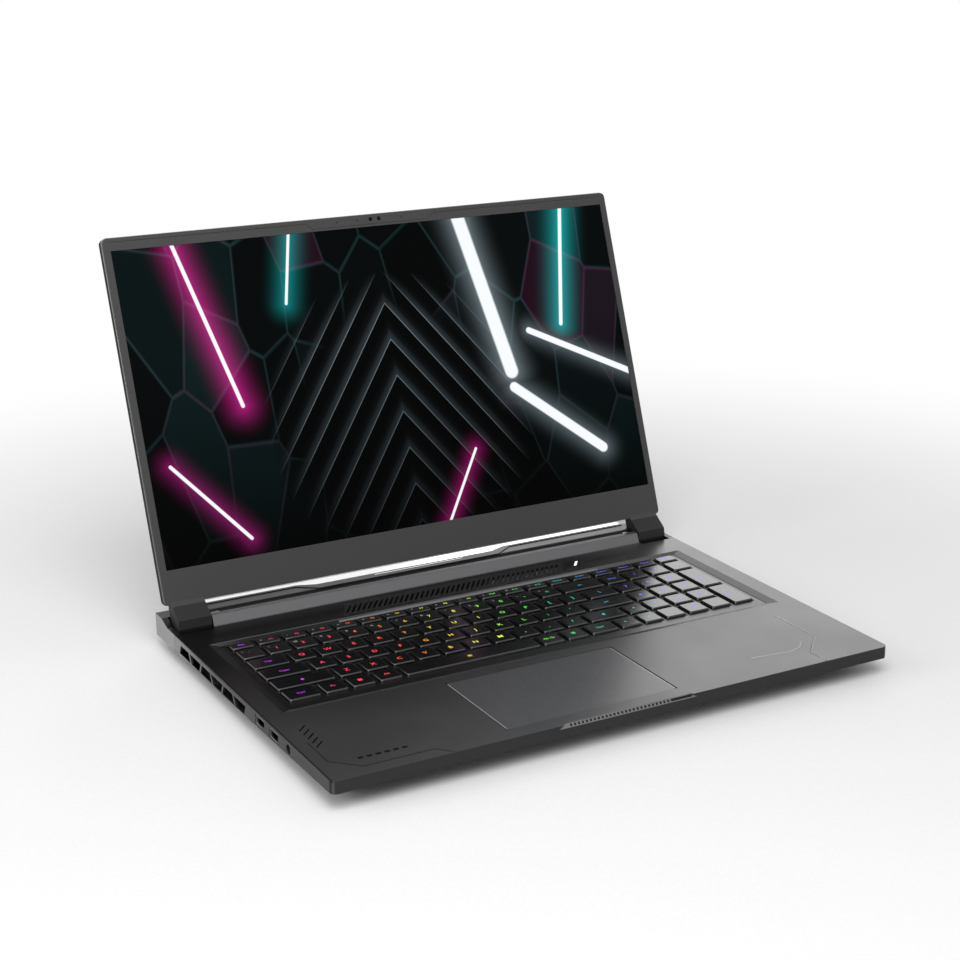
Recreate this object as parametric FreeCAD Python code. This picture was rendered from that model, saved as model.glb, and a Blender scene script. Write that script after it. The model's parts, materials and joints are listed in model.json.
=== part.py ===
import FreeCAD, Part
import math
import os
from FreeCAD import Vector

# Open 17-inch notebook computer. X runs to the right, Y to the back and Z up from the table.
# Sizes are in millimetres. Y is measured from the base's front edge while the pieces are made,
# and every piece is moved at the end so that the origin lies under the middle of the whole object.

# Screen and lid
SCREEN_WIDTH = 382.4
SCREEN_HEIGHT = 215.4
SIDE_BEZEL = 5.3
TOP_BEZEL = 9.2
CHIN = 23.1
CHIN_TO_AXIS = 13.4
LID_THICKNESS = 6.5
LID_FACE = 0.7
LID_WALL = 1.2
LID_LEDGE = 1.0
LID_GROOVE = 0.6
LID_CORNER = 4.0
BEZEL_PLATE = 1.0
BEZEL_INSET = 0.6
OPEN_ANGLE = 110.0
LCD_SHEET = 0.7
BACKLIGHT = 2.9
PANEL_LAP = 2.0
DRIVER_HEIGHT = 6.0
DRIVER_SIDE = 30.0
DRIVER_STEP = 1.0

# Camera bar in the top bezel
CAMERA_HALF = 30.0
CAMERA_HEIGHT = 3.2
CAMERA_BOARD = 2.0
LENS_RADIUS = 1.5
LENS_GAP = 0.1
LENS_SINK = 0.3
LENS_SPACING = 6.6
RELIEF_HALF = 50.0
RELIEF_SLANT = 5.0
RELIEF_TOP = 3.4
RELIEF_LOW = 1.6
RELIEF_END = 6.0
RELIEF_WIDTH = 0.5
RELIEF_DEPTH = 0.3

# Hinge hoods at the lid's lower corners, and the hinges inside them
HOOD_WIDTH = 23.0
HOOD_RADIUS = 9.7
HOOD_NOSE_UP = 2.4
HOOD_NOSE_OUT = 10.1
HOOD_LIP = 1.1
HOOD_BREAK = 1.8
HOOD_WALL = 1.3
HOOD_ROOT = 0.2
HOOD_SIDE_GAP = 0.8
HOOD_SWEEP_GAP = 0.6
PIN_RADIUS = 2.6
PIN_ROOT = 1.0
PIN_SHORT = 2.0
RUNNING_GAP = 0.05
KNUCKLE_RADIUS = 4.6
HINGE_PLATE = 1.5
LEG_WIDTH = 6.0
HINGE_LEAF = 48.0
LEAF_LOW = 4.0
LEAF_HIGH = 8.0
HINGE_SEAT_FRONT = 12.0
HINGE_SEAT_REAR = 8.0
HINGE_SEAT_SIDE = 4.0
HINGE_FOOT_RISE = 2.0
HINGE_FOOT_MARGIN = 5.0

# Base
LID_INSET = 0.5
LID_FRONT_MARGIN = 2.0
REAR_OVERHANG = 23.0
BASE_THICKNESS = 17.0
FOOT_HEIGHT = 2.5
FRONT_WALL = 8.0
REAR_WALL = 12.0
AXIS_RISE = 1.3
DECK_PLATE = 1.6
SIDE_WALL = 1.6
COVER_WALL = 1.5
CORNER = 4.0
UNDER_FRONT = 22.0
UNDER_SIDE = 14.0
UNDER_REAR = 10.0
CHEEK = 4.0
STEP_HEIGHT = 6.4
STEP_LEAN = 3.0
STEP_DEPTH = 7.6
STEP_SETBACK = 11.0
SIDE_SEAM_LEAD = 2.0
TROUGH = 1.2
TROUGH_GAP = 0.4
TROUGH_TURN = 3.0
SEAM = 0.3
FIT_GAP = 0.3
SEAT_GAP = 0.3
STANDOFF = 5.0
STANDOFF_SIDES = 6
INTAKE_SLOTS = 9
INTAKE_PITCH = 6.6
INTAKE_SLOT = 3.0
INTAKE_LENGTH = 56.0
FOOT_WIDTH = 9.0
FOOT_CORNER = 3.0
FRONT_FOOT_LENGTH = 70.0
FRONT_FOOT_SIDE = 20.0
FRONT_FOOT_SETBACK = 4.0
REAR_FOOT_LENGTH = 250.0
REAR_FOOT_SETBACK = 8.0

# Rear bar with the exhaust
BAR_RISE = 7.0
BAR_DROP = 2.0
BAR_ROUND = 8.0
BAR_EDGE = 3.0
BAR_WALL = 1.6
BAR_BLOCK_RISE = 3.5
BAR_BLOCK_LAP = 10.0
CREST = 10.0
CREST_WIDE = 20.0
CREST_LEFT = -85.0
CREST_RIGHT = 70.0
CREST_SLANT = 14.0
CREST_RISE = 0.5
CREST_ROOT = 0.8
CREST_SLOT_LEFT = -41.0
CREST_SLOT_RIGHT = 29.0
CREST_SLOT_WIDTH = 1.2
CREST_SLOT_DEPTH = 0.4
CREST_SLOT_REAR = 14.0
DUCT_SIDE = 12.0
EXHAUST_WIDTH = 104.0
EXHAUST_HEIGHT = 10.0
EXHAUST_RISE = 2.0
EXHAUST_SIDE = 12.0
EXHAUST_PITCH = 9.4
EXHAUST_SLAT = 2.6

# Keyboard
WELL_SIDE = 13.5
WELL_SIDE_BEVEL = 6.5
WELL_REAR_BEVEL = 3.0
WELL_FRONT_BEVEL = 6.0
WELL_FRONT_MARGIN = 7.4
WELL_REAR_MARGIN = 1.0
WELL_SIDE_MARGIN = 2.5
VENT_BAND = 29.5
KEY_ROW_PITCH = 18.65
FUNCTION_ROW_PITCH = 12.8
KEY_GAP = 3.2
KEY_THICKNESS = 2.0
KEY_TRAVEL = 1.5
KEY_FLOOR_GAP = 0.5
KEY_TOP_INSET = 0.6
KEY_SHOULDER_INSET = 0.3
KEY_SHOULDER_DROP = 0.5
KEY_HOLE_GAP = 0.6
KEY_FRAME = 1.0
KEY_PLATE = 0.8
KEY_RIM = 1.5
DOME_FOOT = 7.0
DOME_TOP = 4.0

# Key widths of each row in units of the number keys; 0 takes what is left up to the number pad.
ROWS = {
    "number": [1] * 13 + [0],
    "tab": [1.5] + [1] * 12 + [0],
    "caps": [1.83] + [1] * 11 + [0],
    "shift": [2.29] + [1] * 10 + [1.67, 0],
    "bottom": [1.31, 1, 1, 1, 5.4, 1, 1, 1.26, 1, 0],
}
MAIN_UNITS = 14.9
NUMPAD_UNITS = 4.04
NUMPAD_COLUMNS = 4
FUNCTION_KEYS = 19
SPACE_INDEX = 4
TALL_ROWS = ("tab", "shift")

# Touchpad, vent band and controls
PAD_FRONT = 12.4
PAD_REAR = 9.7
PAD_WIDTH = 119.4
PAD_SHIFT = -19.6
PAD_THICKNESS = 2.4
PAD_CORNER = 1.4
PAD_DROP = 0.2
PAD_RIM = 6.0
PAD_ROOM = 2.0
PAD_TRAY = 2.4
PAD_TRAY_SKIN = 1.0
PAD_PIVOT = 2.0
PAD_PIVOT_SIDE = 6.0
PAD_SWITCH = 1.1
PAD_SWITCH_HALF = 6.0
PAD_SWITCH_FRONT = 8.0
PAD_SWITCH_DEPTH = 8.0
VENT_LEFT = -83.0
VENT_RIGHT = 86.0
VENT_FRONT = 7.0
VENT_DEPTH = 12.5
VENT_SLANT = 8.7
VENT_PITCH = 4.0
VENT_SLOT = 2.0
VENT_SHEET = 0.8
VENT_MARGIN = 2.5
VENT_LAP = 2.0
VENT_DROP = 0.3
BUTTON_LEFT = 106.0
BUTTON_WIDTH = 17.5
BUTTON_DEPTH = 5.2
BUTTON_FRONT = 11.0
BUTTON_SLANT = 3.0
BUTTON_DROP = 0.1
BUTTON_FLANGE = 1.2
BUTTON_FLANGE_THICK = 0.8
BUTTON_TRAVEL = 0.5
SWITCH_SHEET = 0.8
SWITCH_RISE = 0.6
SWITCH_HALF = 1.6
SWITCH_ROOM = 0.8
SWITCH_WALL = 1.4
LIGHT_WIDTH = 2.0
LIGHT_GAP = 4.5
LIGHT_SLANT = 5.5
LIGHT_OVERRUN = 1.0
DASHES = 6
DASH_PITCH = 5.6
DASH_LENGTH = 3.4
DASH_WIDTH = 1.1
DASH_FRONT = 20.8
DASH_SIDE = 27.2
SPEAKER_SLOTS = 5
SPEAKER_SLOT_PITCH = 6.25
SPEAKER_SLOT_RUN = 6.2
SPEAKER_SLOT_WIDTH = 1.5
SPEAKER_SLOT_FRONT = 45.0
SPEAKER_SLOT_SIDE = 11.4

# Styling grooves on the palm rest, as (distance from that side, distance from the front edge)
GROOVE_WIDTH = 0.6
GROOVE_DEPTH = 0.35
LEFT_GROOVE = [(9.0, 53.7), (9.0, 25.5), (24.0, 10.0), (69.0, 10.0), (79.0, -1.0)]
RIGHT_GROOVE = [(31.0, 80.0), (31.0, 37.0), (50.0, 17.0), (50.0, -1.0)]
INNER_GROOVE = [(89.0, 28.0), (61.0, 24.0), (51.0, 27.0), (42.0, 36.0)]

# Finger lip in the front edge
LIP_LEFT = -51.0
LIP_RIGHT = 47.0
LIP_TAPER = 5.0
LIP_BACK = 1.8
LIP_DOWN = 2.2
LIP_RIB = 2.4
LIP_RIB_END = 4.0
TOOTH_LEFT = -43.2
TOOTH_COUNT = 26
TOOTH_PITCH = 2.75
TOOTH_CUT = 1.4
TOOTH_DEPTH = 0.5
TOOTH_BAR = 15.3

# Side vents and sockets
SIDE_VENTS = 6
SIDE_VENT_PITCH = 19.0
SIDE_VENT_REAR = 12.4
SIDE_VENT_TOP = 3.4
SIDE_VENT_HEIGHT = 6.2
SIDE_VENT_BAR = 2.2
SIDE_VENT_SLANT = 2.8
SOCKET_INSET = 0.4
SOCKET_WALL = 0.4
SOCKET_BACK = 1.5
TONGUE_SIDE = 1.2
TONGUE_SETBACK = 3.0
TONGUE_ROOT = 0.5
USB_WIDTH = 13.2
USB_HEIGHT = 5.8
USB_DEPTH = 14.0
USB_TONGUE = 1.9
USB_DROP = 2.4
USB_REAR = 104.0
USB_PITCH = 21.2
SLIM_WIDTH = 9.0
SLIM_HEIGHT = 3.3
SLIM_TONGUE = 0.8
JACK_Y = 61.0
JACK_RADIUS = 1.8
JACK_BODY = 6.4
JACK_DEPTH = 14.0
JACK_HOLE = 3.0
PORT_BOARD = 1.2
PORT_BOARD_WIDTH = 13.5
PORT_BOARD_SIDE = 2.2
PORT_BOARD_END = 4.0
PORT_POST = 4.0
INLET_WIDTH = 11.0
VIDEO_WIDTH = 15.0
REAR_SOCKET_HEIGHT = 5.6
REAR_SOCKET_DEPTH = 14.0
REAR_SOCKET_GAP = 30.0
REAR_TONGUE = 1.2

# Inside the base
BOARD = 1.2
BOARD_RISE = 5.8
BOARD_FRONT = 4.0
BOARD_REAR = 3.0
BOARD_STEP = 14.0
BOARD_FAN_GAP = 4.0
SEAT_EDGE = 8.0
SEAT_FRONT = 10.0
SEAT_REAR = 24.0
SEAT_SIDE = 47.0
CHIP = 1.1
CHIP_AHEAD = 8.0
PROCESSOR_X = -38.0
PROCESSOR_SIZE = 34.0
GRAPHICS_X = 34.0
GRAPHICS_SIZE = 42.0
PIPE = 2.3
PIPE_WIDTH = 8.0
PIPE_TURN = 10.0
PIPE_END = 4.0
MODULE = 3.2
MODULE_FRONT = 22.0
MEMORY_LEFT = -60.0
MEMORY_LENGTH = 70.0
MEMORY_DEPTH = 14.0
MEMORY_PITCH = 18.0
STORAGE_SIDE = 105.0
STORAGE_LENGTH = 48.0
STORAGE_DEPTH = 22.0
STORAGE_FRONT = 12.0
WIRELESS_LEFT = 24.0
WIRELESS_LENGTH = 30.0
WIRELESS_DEPTH = 22.0
WIRELESS = 2.2
FAN_SIZE = 76.0
FAN_CORNER = 12.0
FAN_HEIGHT = 7.7
FAN_SKIN = 0.8
FAN_CAVITY = 35.0
FAN_OUTLET_WALL = 4.0
FAN_INLET = 22.0
FAN_BOSS = 6.0
FAN_ARMS = 3
FAN_ARM_WIDTH = 3.0
FAN_HUB = 11.0
FAN_BLADE = 23.0
FAN_SWEEP = 24.0
FAN_BLADES = 16
FAN_BLADE_THICK = 0.8
FAN_PIN = 1.5
FAN_SIDE = 71.0
FAN_BACK = 8.0
FIN_DEPTH = 14.0
FIN_PITCH = 7.0
FIN = 1.0
FIN_SIDE = 4.0
BATTERY_HEIGHT = 8.0
BATTERY_SIDE = 85.0
BATTERY_END = 4.0
CELLS = 4
CELL_SEAM = 1.2
CELL_SEAM_DEPTH = 1.5
SPEAKER_WIDTH = 44.0
SPEAKER_HEIGHT = 9.0
SPEAKER_GAP = 10.0
SPEAKER_FRONT = 8.0
SPEAKER_REAR = 6.0
CONE_INSET = 7.0
CONE_CORNER = 8.0
CONE_RISE = 1.2

# Sides of small or hidden forms that are turned on the real object
SMALL_SIDES = 12
FAN_SIDES = 24

# Cutters reach this far past the faces that they cut.
PAST = 1.0

# Sizes that follow from those above
LID_WIDTH = SCREEN_WIDTH + 2 * SIDE_BEZEL
LID_BOTTOM = CHIN_TO_AXIS
SCREEN_BOTTOM = LID_BOTTOM + CHIN
SCREEN_TOP = SCREEN_BOTTOM + SCREEN_HEIGHT
LID_TOP = SCREEN_TOP + TOP_BEZEL
LID_HALF = LID_WIDTH / 2
LID_BACK = LID_THICKNESS - LID_FACE
LID_FLOOR = LID_BACK - LID_WALL
BEZEL_BACK = BEZEL_PLATE - LID_FACE
CAMERA_Z = LID_TOP - LID_WALL - LID_LEDGE - SEAT_GAP - CAMERA_HEIGHT / 2
HALF = LID_HALF + LID_INSET
AXIS_Y = LID_FRONT_MARGIN + LID_TOP
BASE_DEPTH = AXIS_Y + REAR_OVERHANG
BASE_BOTTOM = FOOT_HEIGHT
DECK = FOOT_HEIGHT + BASE_THICKNESS
AXIS_Z = DECK + AXIS_RISE
DECK_UNDER = DECK - DECK_PLATE
FLOOR = BASE_BOTTOM + COVER_WALL
SWEEP = math.hypot(HOOD_NOSE_UP, HOOD_NOSE_OUT) + HOOD_SWEEP_GAP
NOTCH_FRONT = AXIS_Y - LID_BOTTOM - HOOD_BREAK
NOTCH_REAR = AXIS_Y + SWEEP
NOTCH_OUTER = HALF - CHEEK
HOOD_OUTER = NOTCH_OUTER - HOOD_SIDE_GAP
HOOD_INNER = HOOD_OUTER - HOOD_WIDTH
NOTCH_INNER = HOOD_INNER - HOOD_SIDE_GAP
STEP_Y = AXIS_Y - STEP_SETBACK
STEP_REAR = STEP_Y + STEP_DEPTH
SIDE_SEAM = STEP_Y - SIDE_SEAM_LEAD
BAR_FRONT = STEP_REAR + SEAM
BAR_LOW = DECK - REAR_WALL - BAR_DROP
WELL_HALF = HALF - WELL_SIDE
WELL_INNER = WELL_HALF - WELL_SIDE_BEVEL
KEYS_LEFT = WELL_SIDE_MARGIN - WELL_INNER
KEYS_WIDTH = -2 * KEYS_LEFT
KEY_PITCH = KEYS_WIDTH / (MAIN_UNITS + NUMPAD_UNITS)
NUMPAD_LEFT = KEYS_LEFT + MAIN_UNITS * KEY_PITCH
NUMPAD_PITCH = NUMPAD_UNITS * KEY_PITCH / NUMPAD_COLUMNS
WELL_REAR = STEP_Y - VENT_BAND
KEYS_REAR = WELL_REAR - WELL_REAR_BEVEL - WELL_REAR_MARGIN
KEYS_FRONT = KEYS_REAR - FUNCTION_ROW_PITCH - len(ROWS) * KEY_ROW_PITCH
WELL_FRONT = KEYS_FRONT - WELL_FRONT_MARGIN - WELL_FRONT_BEVEL
FRAME_BOTTOM = DECK_UNDER - KEY_FRAME
CAP_BOTTOM = DECK - KEY_THICKNESS
PLATE_TOP = CAP_BOTTOM - KEY_TRAVEL - KEY_FLOOR_GAP
PLATE_BOTTOM = PLATE_TOP - KEY_PLATE
PAD_LEFT = PAD_SHIFT - PAD_WIDTH / 2
PAD_RIGHT = PAD_SHIFT + PAD_WIDTH / 2
PAD_BACK = WELL_FRONT - PAD_REAR
PAD_TOP = DECK - PAD_DROP
PAD_BOTTOM = PAD_TOP - PAD_THICKNESS
VENT_Y = WELL_REAR + VENT_FRONT
BUTTON_Y = WELL_REAR + BUTTON_FRONT
SOCKET_TOP = DECK - USB_DROP
SOCKET_LOW = SOCKET_TOP - USB_HEIGHT
JACK_Z = SOCKET_LOW + JACK_BODY / 2
BOARD_BOTTOM = FLOOR + BOARD_RISE
BOARD_TOP = BOARD_BOTTOM + BOARD
PIPE_BOTTOM = BOARD_TOP + CHIP
FAN_CENTRE = HALF - FAN_SIDE
FAN_Y = WELL_REAR + FAN_BACK - FAN_SIZE / 2
FAN_TOP = FLOOR + FAN_HEIGHT
BOARD_HALF = FAN_CENTRE - FAN_SIZE / 2 - BOARD_FAN_GAP
SEAT_WING = HALF - SEAT_SIDE
STORAGE_X = HALF - STORAGE_SIDE
BATTERY_HALF = HALF - BATTERY_SIDE
ROTOR_LOW = FLOOR + FAN_SKIN + SEAT_GAP
ROTOR_HIGH = FAN_TOP - FAN_SKIN - SEAT_GAP
FIN_FRONT = FAN_Y + FAN_SIZE / 2 + SEAT_GAP
HINGE_FOOT = FLOOR + HINGE_FOOT_RISE
HINGE_SEATS = (AXIS_Y - HINGE_SEAT_FRONT, AXIS_Y + HINGE_SEAT_REAR)
LEG_OUTER = NOTCH_INNER - DECK_PLATE - FIT_GAP
LEG_INNER = LEG_OUTER - LEG_WIDTH
HINGE_SEAT_X = LEG_INNER - HINGE_SEAT_SIDE
LID_LEAN = math.radians(OPEN_ANGLE - 90)
LID_REACH = AXIS_Y + LID_TOP * math.sin(LID_LEAN) + LID_BACK * math.cos(LID_LEAN)
Y_SHIFT = -max(LID_REACH, BASE_DEPTH) / 2
# Share of a quarter circle's radius between its middle and the corner that it rounds
ROUND = 1 - math.sqrt(0.5)


def on_x(x):
    return lambda y, z: Vector(x, y, z)


def on_y(y):
    return lambda x, z: Vector(x, y, z)


def on_z(z):
    return lambda x, y: Vector(x, y, z)


def wire(place, path):
    """A closed wire. A step of two numbers is a line's end, one of four an arc's middle and end."""
    start = place(*path[0])
    last = start
    edges = []
    for step in path[1:]:
        end = place(*step[-2:])
        if len(step) == 4:
            edges.append(Part.Arc(last, place(*step[:2]), end).toShape())
        else:
            edges.append(Part.makeLine(last, end))
        last = end
    if last.distanceToPoint(start) > 1e-6:
        edges.append(Part.makeLine(last, start))
    return Part.Wire(edges)


def prism_x(path, low, high):
    return Part.Face(wire(on_x(low), path)).extrude(Vector(high - low, 0, 0))


def prism_y(path, low, high):
    return Part.Face(wire(on_y(low), path)).extrude(Vector(0, high - low, 0))


def prism_z(path, low, high):
    return Part.Face(wire(on_z(low), path)).extrude(Vector(0, 0, high - low))


def box(x0, x1, y0, y1, z0, z1):
    return Part.makeBox(x1 - x0, y1 - y0, z1 - z0, Vector(x0, y0, z0))


def rod(radius, start, end):
    line = end.sub(start)
    return Part.makeCylinder(radius, line.Length, start, line)


def rectangle(x0, x1, y0, y1):
    return [(x0, y0), (x1, y0), (x1, y1), (x0, y1)]


def cornered(x0, x1, y0, y1, c):
    """A rectangle with bevelled corners."""
    return [(x0 + c, y0), (x1 - c, y0), (x1, y0 + c), (x1, y1 - c),
            (x1 - c, y1), (x0 + c, y1), (x0, y1 - c), (x0, y0 + c)]


def rounded(x0, x1, y0, y1, r):
    """A rectangle with quarter-circle corners."""
    k = r * ROUND
    return [(x0 + r, y0), (x1 - r, y0), (x1 - k, y0 + k, x1, y0 + r), (x1, y1 - r),
            (x1 - k, y1 - k, x1 - r, y1), (x0 + r, y1), (x0 + k, y1 - k, x0, y1 - r),
            (x0, y0 + r), (x0 + k, y0 + k, x0 + r, y0)]


def slanted(x0, x1, y0, y1, slant):
    """A parallelogram whose rear edge is shifted along X."""
    return [(x0, y0), (x1, y0), (x1 + slant, y1), (x0 + slant, y1)]


def regular(x, y, radius, sides):
    turns = [2 * math.pi * i / sides for i in range(sides)]
    return [(x + radius * math.cos(a), y + radius * math.sin(a)) for a in turns]


def circle(x, y, r):
    return [(x + r, y), (x, y + r, x - r, y), (x, y - r, x + r, y)]


def sheet(outline, holes, low, high):
    """A flat plate with holes."""
    wires = [wire(on_z(low), path) for path in [outline] + holes]
    face = Part.makeFace(wires, "Part::FaceMakerBullseye")
    return face.extrude(Vector(0, 0, high - low))


def frustum(sections):
    """A solid with flat sides through rectangles given as (x0, x1, y0, y1, z), from the bottom up."""
    rings = [[Vector(x, y, s[4]) for x, y in rectangle(*s[:4])] for s in sections]
    outlines = [rings[0], rings[-1]]
    for low, high in zip(rings, rings[1:]):
        for i in range(len(low)):
            outlines.append([low[i - 1], low[i], high[i], high[i - 1]])
    faces = [Part.Face(Part.makePolygon(points + points[:1])) for points in outlines]
    solid = Part.makeSolid(Part.makeShell(faces))
    if solid.Volume < 0:
        solid.reverse()
    return solid


def both_sides(low, high):
    """The span low to high on the left as well as on the right, each in rising order."""
    return (-1, -high, -low), (1, low, high)


def mirrored(shape):
    return shape.mirror(Vector(0, 0, 0), Vector(1, 0, 0))


def split_height(y):
    """Height of the sloping line where the deck's walls meet the bottom cover."""
    return DECK - FRONT_WALL - (REAR_WALL - FRONT_WALL) * y / BASE_DEPTH


def above_split(top):
    """Everything between the sloping seam and a level above the deck."""
    rear = BASE_DEPTH + PAST
    path = [(-PAST, top), (rear, top), (rear, split_height(rear)), (-PAST, split_height(-PAST))]
    return prism_x(path, -HALF - PAST, HALF + PAST)


def place_lid(shape):
    """Lid pieces are made upright with the hinge axis on X, then leaned back and set on the base."""
    placed = shape.copy()
    placed.rotate(Vector(0, 0, 0), Vector(1, 0, 0), 90 - OPEN_ANGLE)
    placed.translate(Vector(0, AXIS_Y, AXIS_Z))
    return placed


def save(name, shape):
    moved = shape.copy()
    moved.translate(Vector(0, Y_SHIFT, 0))
    moved.exportStep("parts/%s.step" % name)
    facts = (name, len(moved.Solids), moved.Volume, moved.isValid())
    print("%-22s solids %3d  volume %10.1f  valid %s" % facts)


# Keyboard

def row_cells(widths):
    """Left and right edges of the cells of one row up to the number pad."""
    cells = []
    x = KEYS_LEFT
    for units in widths:
        right = x + units * KEY_PITCH if units else NUMPAD_LEFT
        cells.append((x, right))
        x = right
    return cells


def key_layout():
    """Cells of every key as (x0, x1, y0, y1), by the group that moves together."""
    rear = KEYS_REAR - FUNCTION_ROW_PITCH
    step = KEYS_WIDTH / FUNCTION_KEYS
    edges = [KEYS_LEFT + i * step for i in range(FUNCTION_KEYS + 1)]
    layout = {"function": [(x0, x1, rear, KEYS_REAR) for x0, x1 in zip(edges, edges[1:])]}
    columns = [NUMPAD_LEFT + i * NUMPAD_PITCH for i in range(NUMPAD_COLUMNS + 1)]
    for name, widths in ROWS.items():
        front = rear - KEY_ROW_PITCH
        cells = [(x0, x1, front, rear) for x0, x1 in row_cells(widths)]
        if name == "bottom":
            layout["space"] = [cells.pop(SPACE_INDEX)]
        for x0, x1 in zip(columns[:-2], columns[1:-1]):
            cells.append((x0, x1, front, rear))
        if name == "number":
            cells.append((columns[-2], columns[-1], front, rear))
        if name in TALL_ROWS:
            cells.append((columns[-2], columns[-1], front - KEY_ROW_PITCH, rear))
        layout[name] = cells
        rear = front
    return layout


def key_cap(cell):
    """A tapered cap: a skirt, a shoulder and a smaller top."""
    x0, x1, y0, y1 = cell
    levels = ((0, CAP_BOTTOM), (KEY_SHOULDER_INSET, DECK - KEY_SHOULDER_DROP), (KEY_TOP_INSET, DECK))
    sections = []
    for inset, z in levels:
        d = KEY_GAP / 2 + inset
        sections.append((x0 + d, x1 - d, y0 + d, y1 - d, z))
    return frustum(sections)


def key_dome(cell):
    """The rubber dome with its folding arms, from the plate to the cap."""
    x = (cell[0] + cell[1]) / 2
    y = (cell[2] + cell[3]) / 2
    sections = []
    for size, z in ((DOME_FOOT, PLATE_TOP), (DOME_TOP, CAP_BOTTOM)):
        sections.append((x - size / 2, x + size / 2, y - size / 2, y + size / 2, z))
    return frustum(sections)


def keyboard():
    holes = []
    for group, cells in key_layout().items():
        name = "space_bar" if group == "space" else "%s_row_keys" % group
        save(name, Part.makeCompound([key_cap(cell) for cell in cells]))
        save("%s_domes" % group, Part.makeCompound([key_dome(cell) for cell in cells]))
        d = KEY_GAP / 2 - KEY_HOLE_GAP
        holes += [rectangle(x0 + d, x1 - d, y0 + d, y1 - d) for x0, x1, y0, y1 in cells]
    inner = (-WELL_INNER, WELL_INNER, WELL_FRONT + WELL_FRONT_BEVEL, WELL_REAR - WELL_REAR_BEVEL)
    x0, x1, y0, y1 = inner
    edge = (x0 - KEY_RIM, x1 + KEY_RIM, y0 - KEY_RIM, y1 + KEY_RIM)
    save("keyboard_frame", sheet(rectangle(*edge), holes, FRAME_BOTTOM, DECK_UNDER))
    tray = box(*edge, PLATE_BOTTOM, FRAME_BOTTOM)
    save("keyboard_plate", tray.cut(box(*inner, PLATE_TOP, FRAME_BOTTOM)))


# Top deck

def deck_outline(inset, rear):
    """Plan of the deck with rounded front corners, its sides drawn in by inset."""
    h = HALF - inset
    r = CORNER - inset
    k = r * ROUND
    y = inset
    return [(-h, rear), (-h, y + r), (-h + k, y + k, -h + r, y), (h - r, y),
            (h - k, y + k, h, y + r), (h, rear)]


def deck_shell():
    """Deck plate with its front and side walls, cut along the sloping seam."""
    low = split_height(BASE_DEPTH) - PAST
    outer = prism_z(deck_outline(0, SIDE_SEAM), low, DECK)
    cavity = prism_z(deck_outline(SIDE_WALL, SIDE_SEAM + PAST), low - PAST, DECK_UNDER)
    rib = box(LIP_LEFT - LIP_RIB_END, LIP_RIGHT + LIP_RIB_END, SIDE_WALL, SIDE_WALL + LIP_RIB,
              DECK_UNDER - LIP_RIB, DECK_UNDER)
    return outer.common(above_split(DECK + PAST)).cut(cavity).fuse(rib)


def rear_step():
    """Raised folded step between the hinge notches, with closed ends."""
    t = DECK_PLATE
    top = DECK + STEP_HEIGHT
    y = STEP_Y
    start = SIDE_SEAM - PAST
    fold = [(start, DECK_UNDER), (start, DECK), (y, DECK), (y + STEP_LEAN, top), (STEP_REAR, top),
            (STEP_REAR, DECK_UNDER), (STEP_REAR - t, DECK_UNDER), (STEP_REAR - t, top - t),
            (y + STEP_LEAN + t / 2, top - t), (y + t, DECK_UNDER)]
    cap = [(y, DECK_UNDER), (y, DECK), (y + STEP_LEAN, top), (STEP_REAR, top), (STEP_REAR, DECK_UNDER)]
    shape = prism_x(fold, -NOTCH_INNER, NOTCH_INNER)
    for side, x0, x1 in both_sides(NOTCH_INNER - t, NOTCH_INNER):
        shape = shape.fuse(prism_x(cap, x0, x1))
    return shape


def hinge_notches():
    """Openings in the deck for the lid's hoods."""
    cuts = []
    for side, x0, x1 in both_sides(NOTCH_INNER, NOTCH_OUTER):
        cuts.append(box(x0, x1, NOTCH_FRONT, NOTCH_REAR, BASE_BOTTOM, DECK + PAST))
    return Part.makeCompound(cuts)


def notch_troughs():
    """Thin linings under the notches that keep clear of the turning hoods."""
    low = AXIS_Z - SWEEP - TROUGH_GAP
    turn = AXIS_Y - TROUGH_TURN
    rear = NOTCH_REAR - SEAM
    front = NOTCH_FRONT - TROUGH
    path = [(NOTCH_FRONT, DECK), (NOTCH_FRONT, DECK_UNDER), (turn, low), (rear, low), (rear, low - TROUGH),
            (turn - TROUGH / 2, low - TROUGH), (front, DECK_UNDER - TROUGH), (front, DECK)]
    return [prism_x(path, x0, x1) for side, x0, x1 in both_sides(NOTCH_INNER, NOTCH_OUTER - SEAM)]


def hinge_pockets():
    """Room for the hinge's leg and pin where they pass the step and the rear bar."""
    reach = KNUCKLE_RADIUS + FIT_GAP
    slot = PIN_RADIUS + FIT_GAP
    pockets = []
    for side, x0, x1 in both_sides(LEG_INNER - FIT_GAP, LEG_OUTER + FIT_GAP):
        pockets.append(box(x0, x1, AXIS_Y - reach, AXIS_Y + reach, BASE_BOTTOM, AXIS_Z + KNUCKLE_RADIUS))
    for side, x0, x1 in both_sides(LEG_INNER, NOTCH_INNER + PAST):
        pockets.append(box(x0, x1, AXIS_Y - slot, AXIS_Y + slot, AXIS_Z - slot, AXIS_Z + slot))
    return Part.makeCompound(pockets)


def well_cutter():
    """Bevelled opening over the keyboard."""
    sections = []
    for z in (DECK_UNDER - DECK_PLATE, DECK + DECK_PLATE):
        t = (DECK - z) / DECK_PLATE
        sections.append((-WELL_HALF + t * WELL_SIDE_BEVEL, WELL_HALF - t * WELL_SIDE_BEVEL,
                         WELL_FRONT + t * WELL_FRONT_BEVEL, WELL_REAR - t * WELL_REAR_BEVEL, z))
    return frustum(sections)


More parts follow.
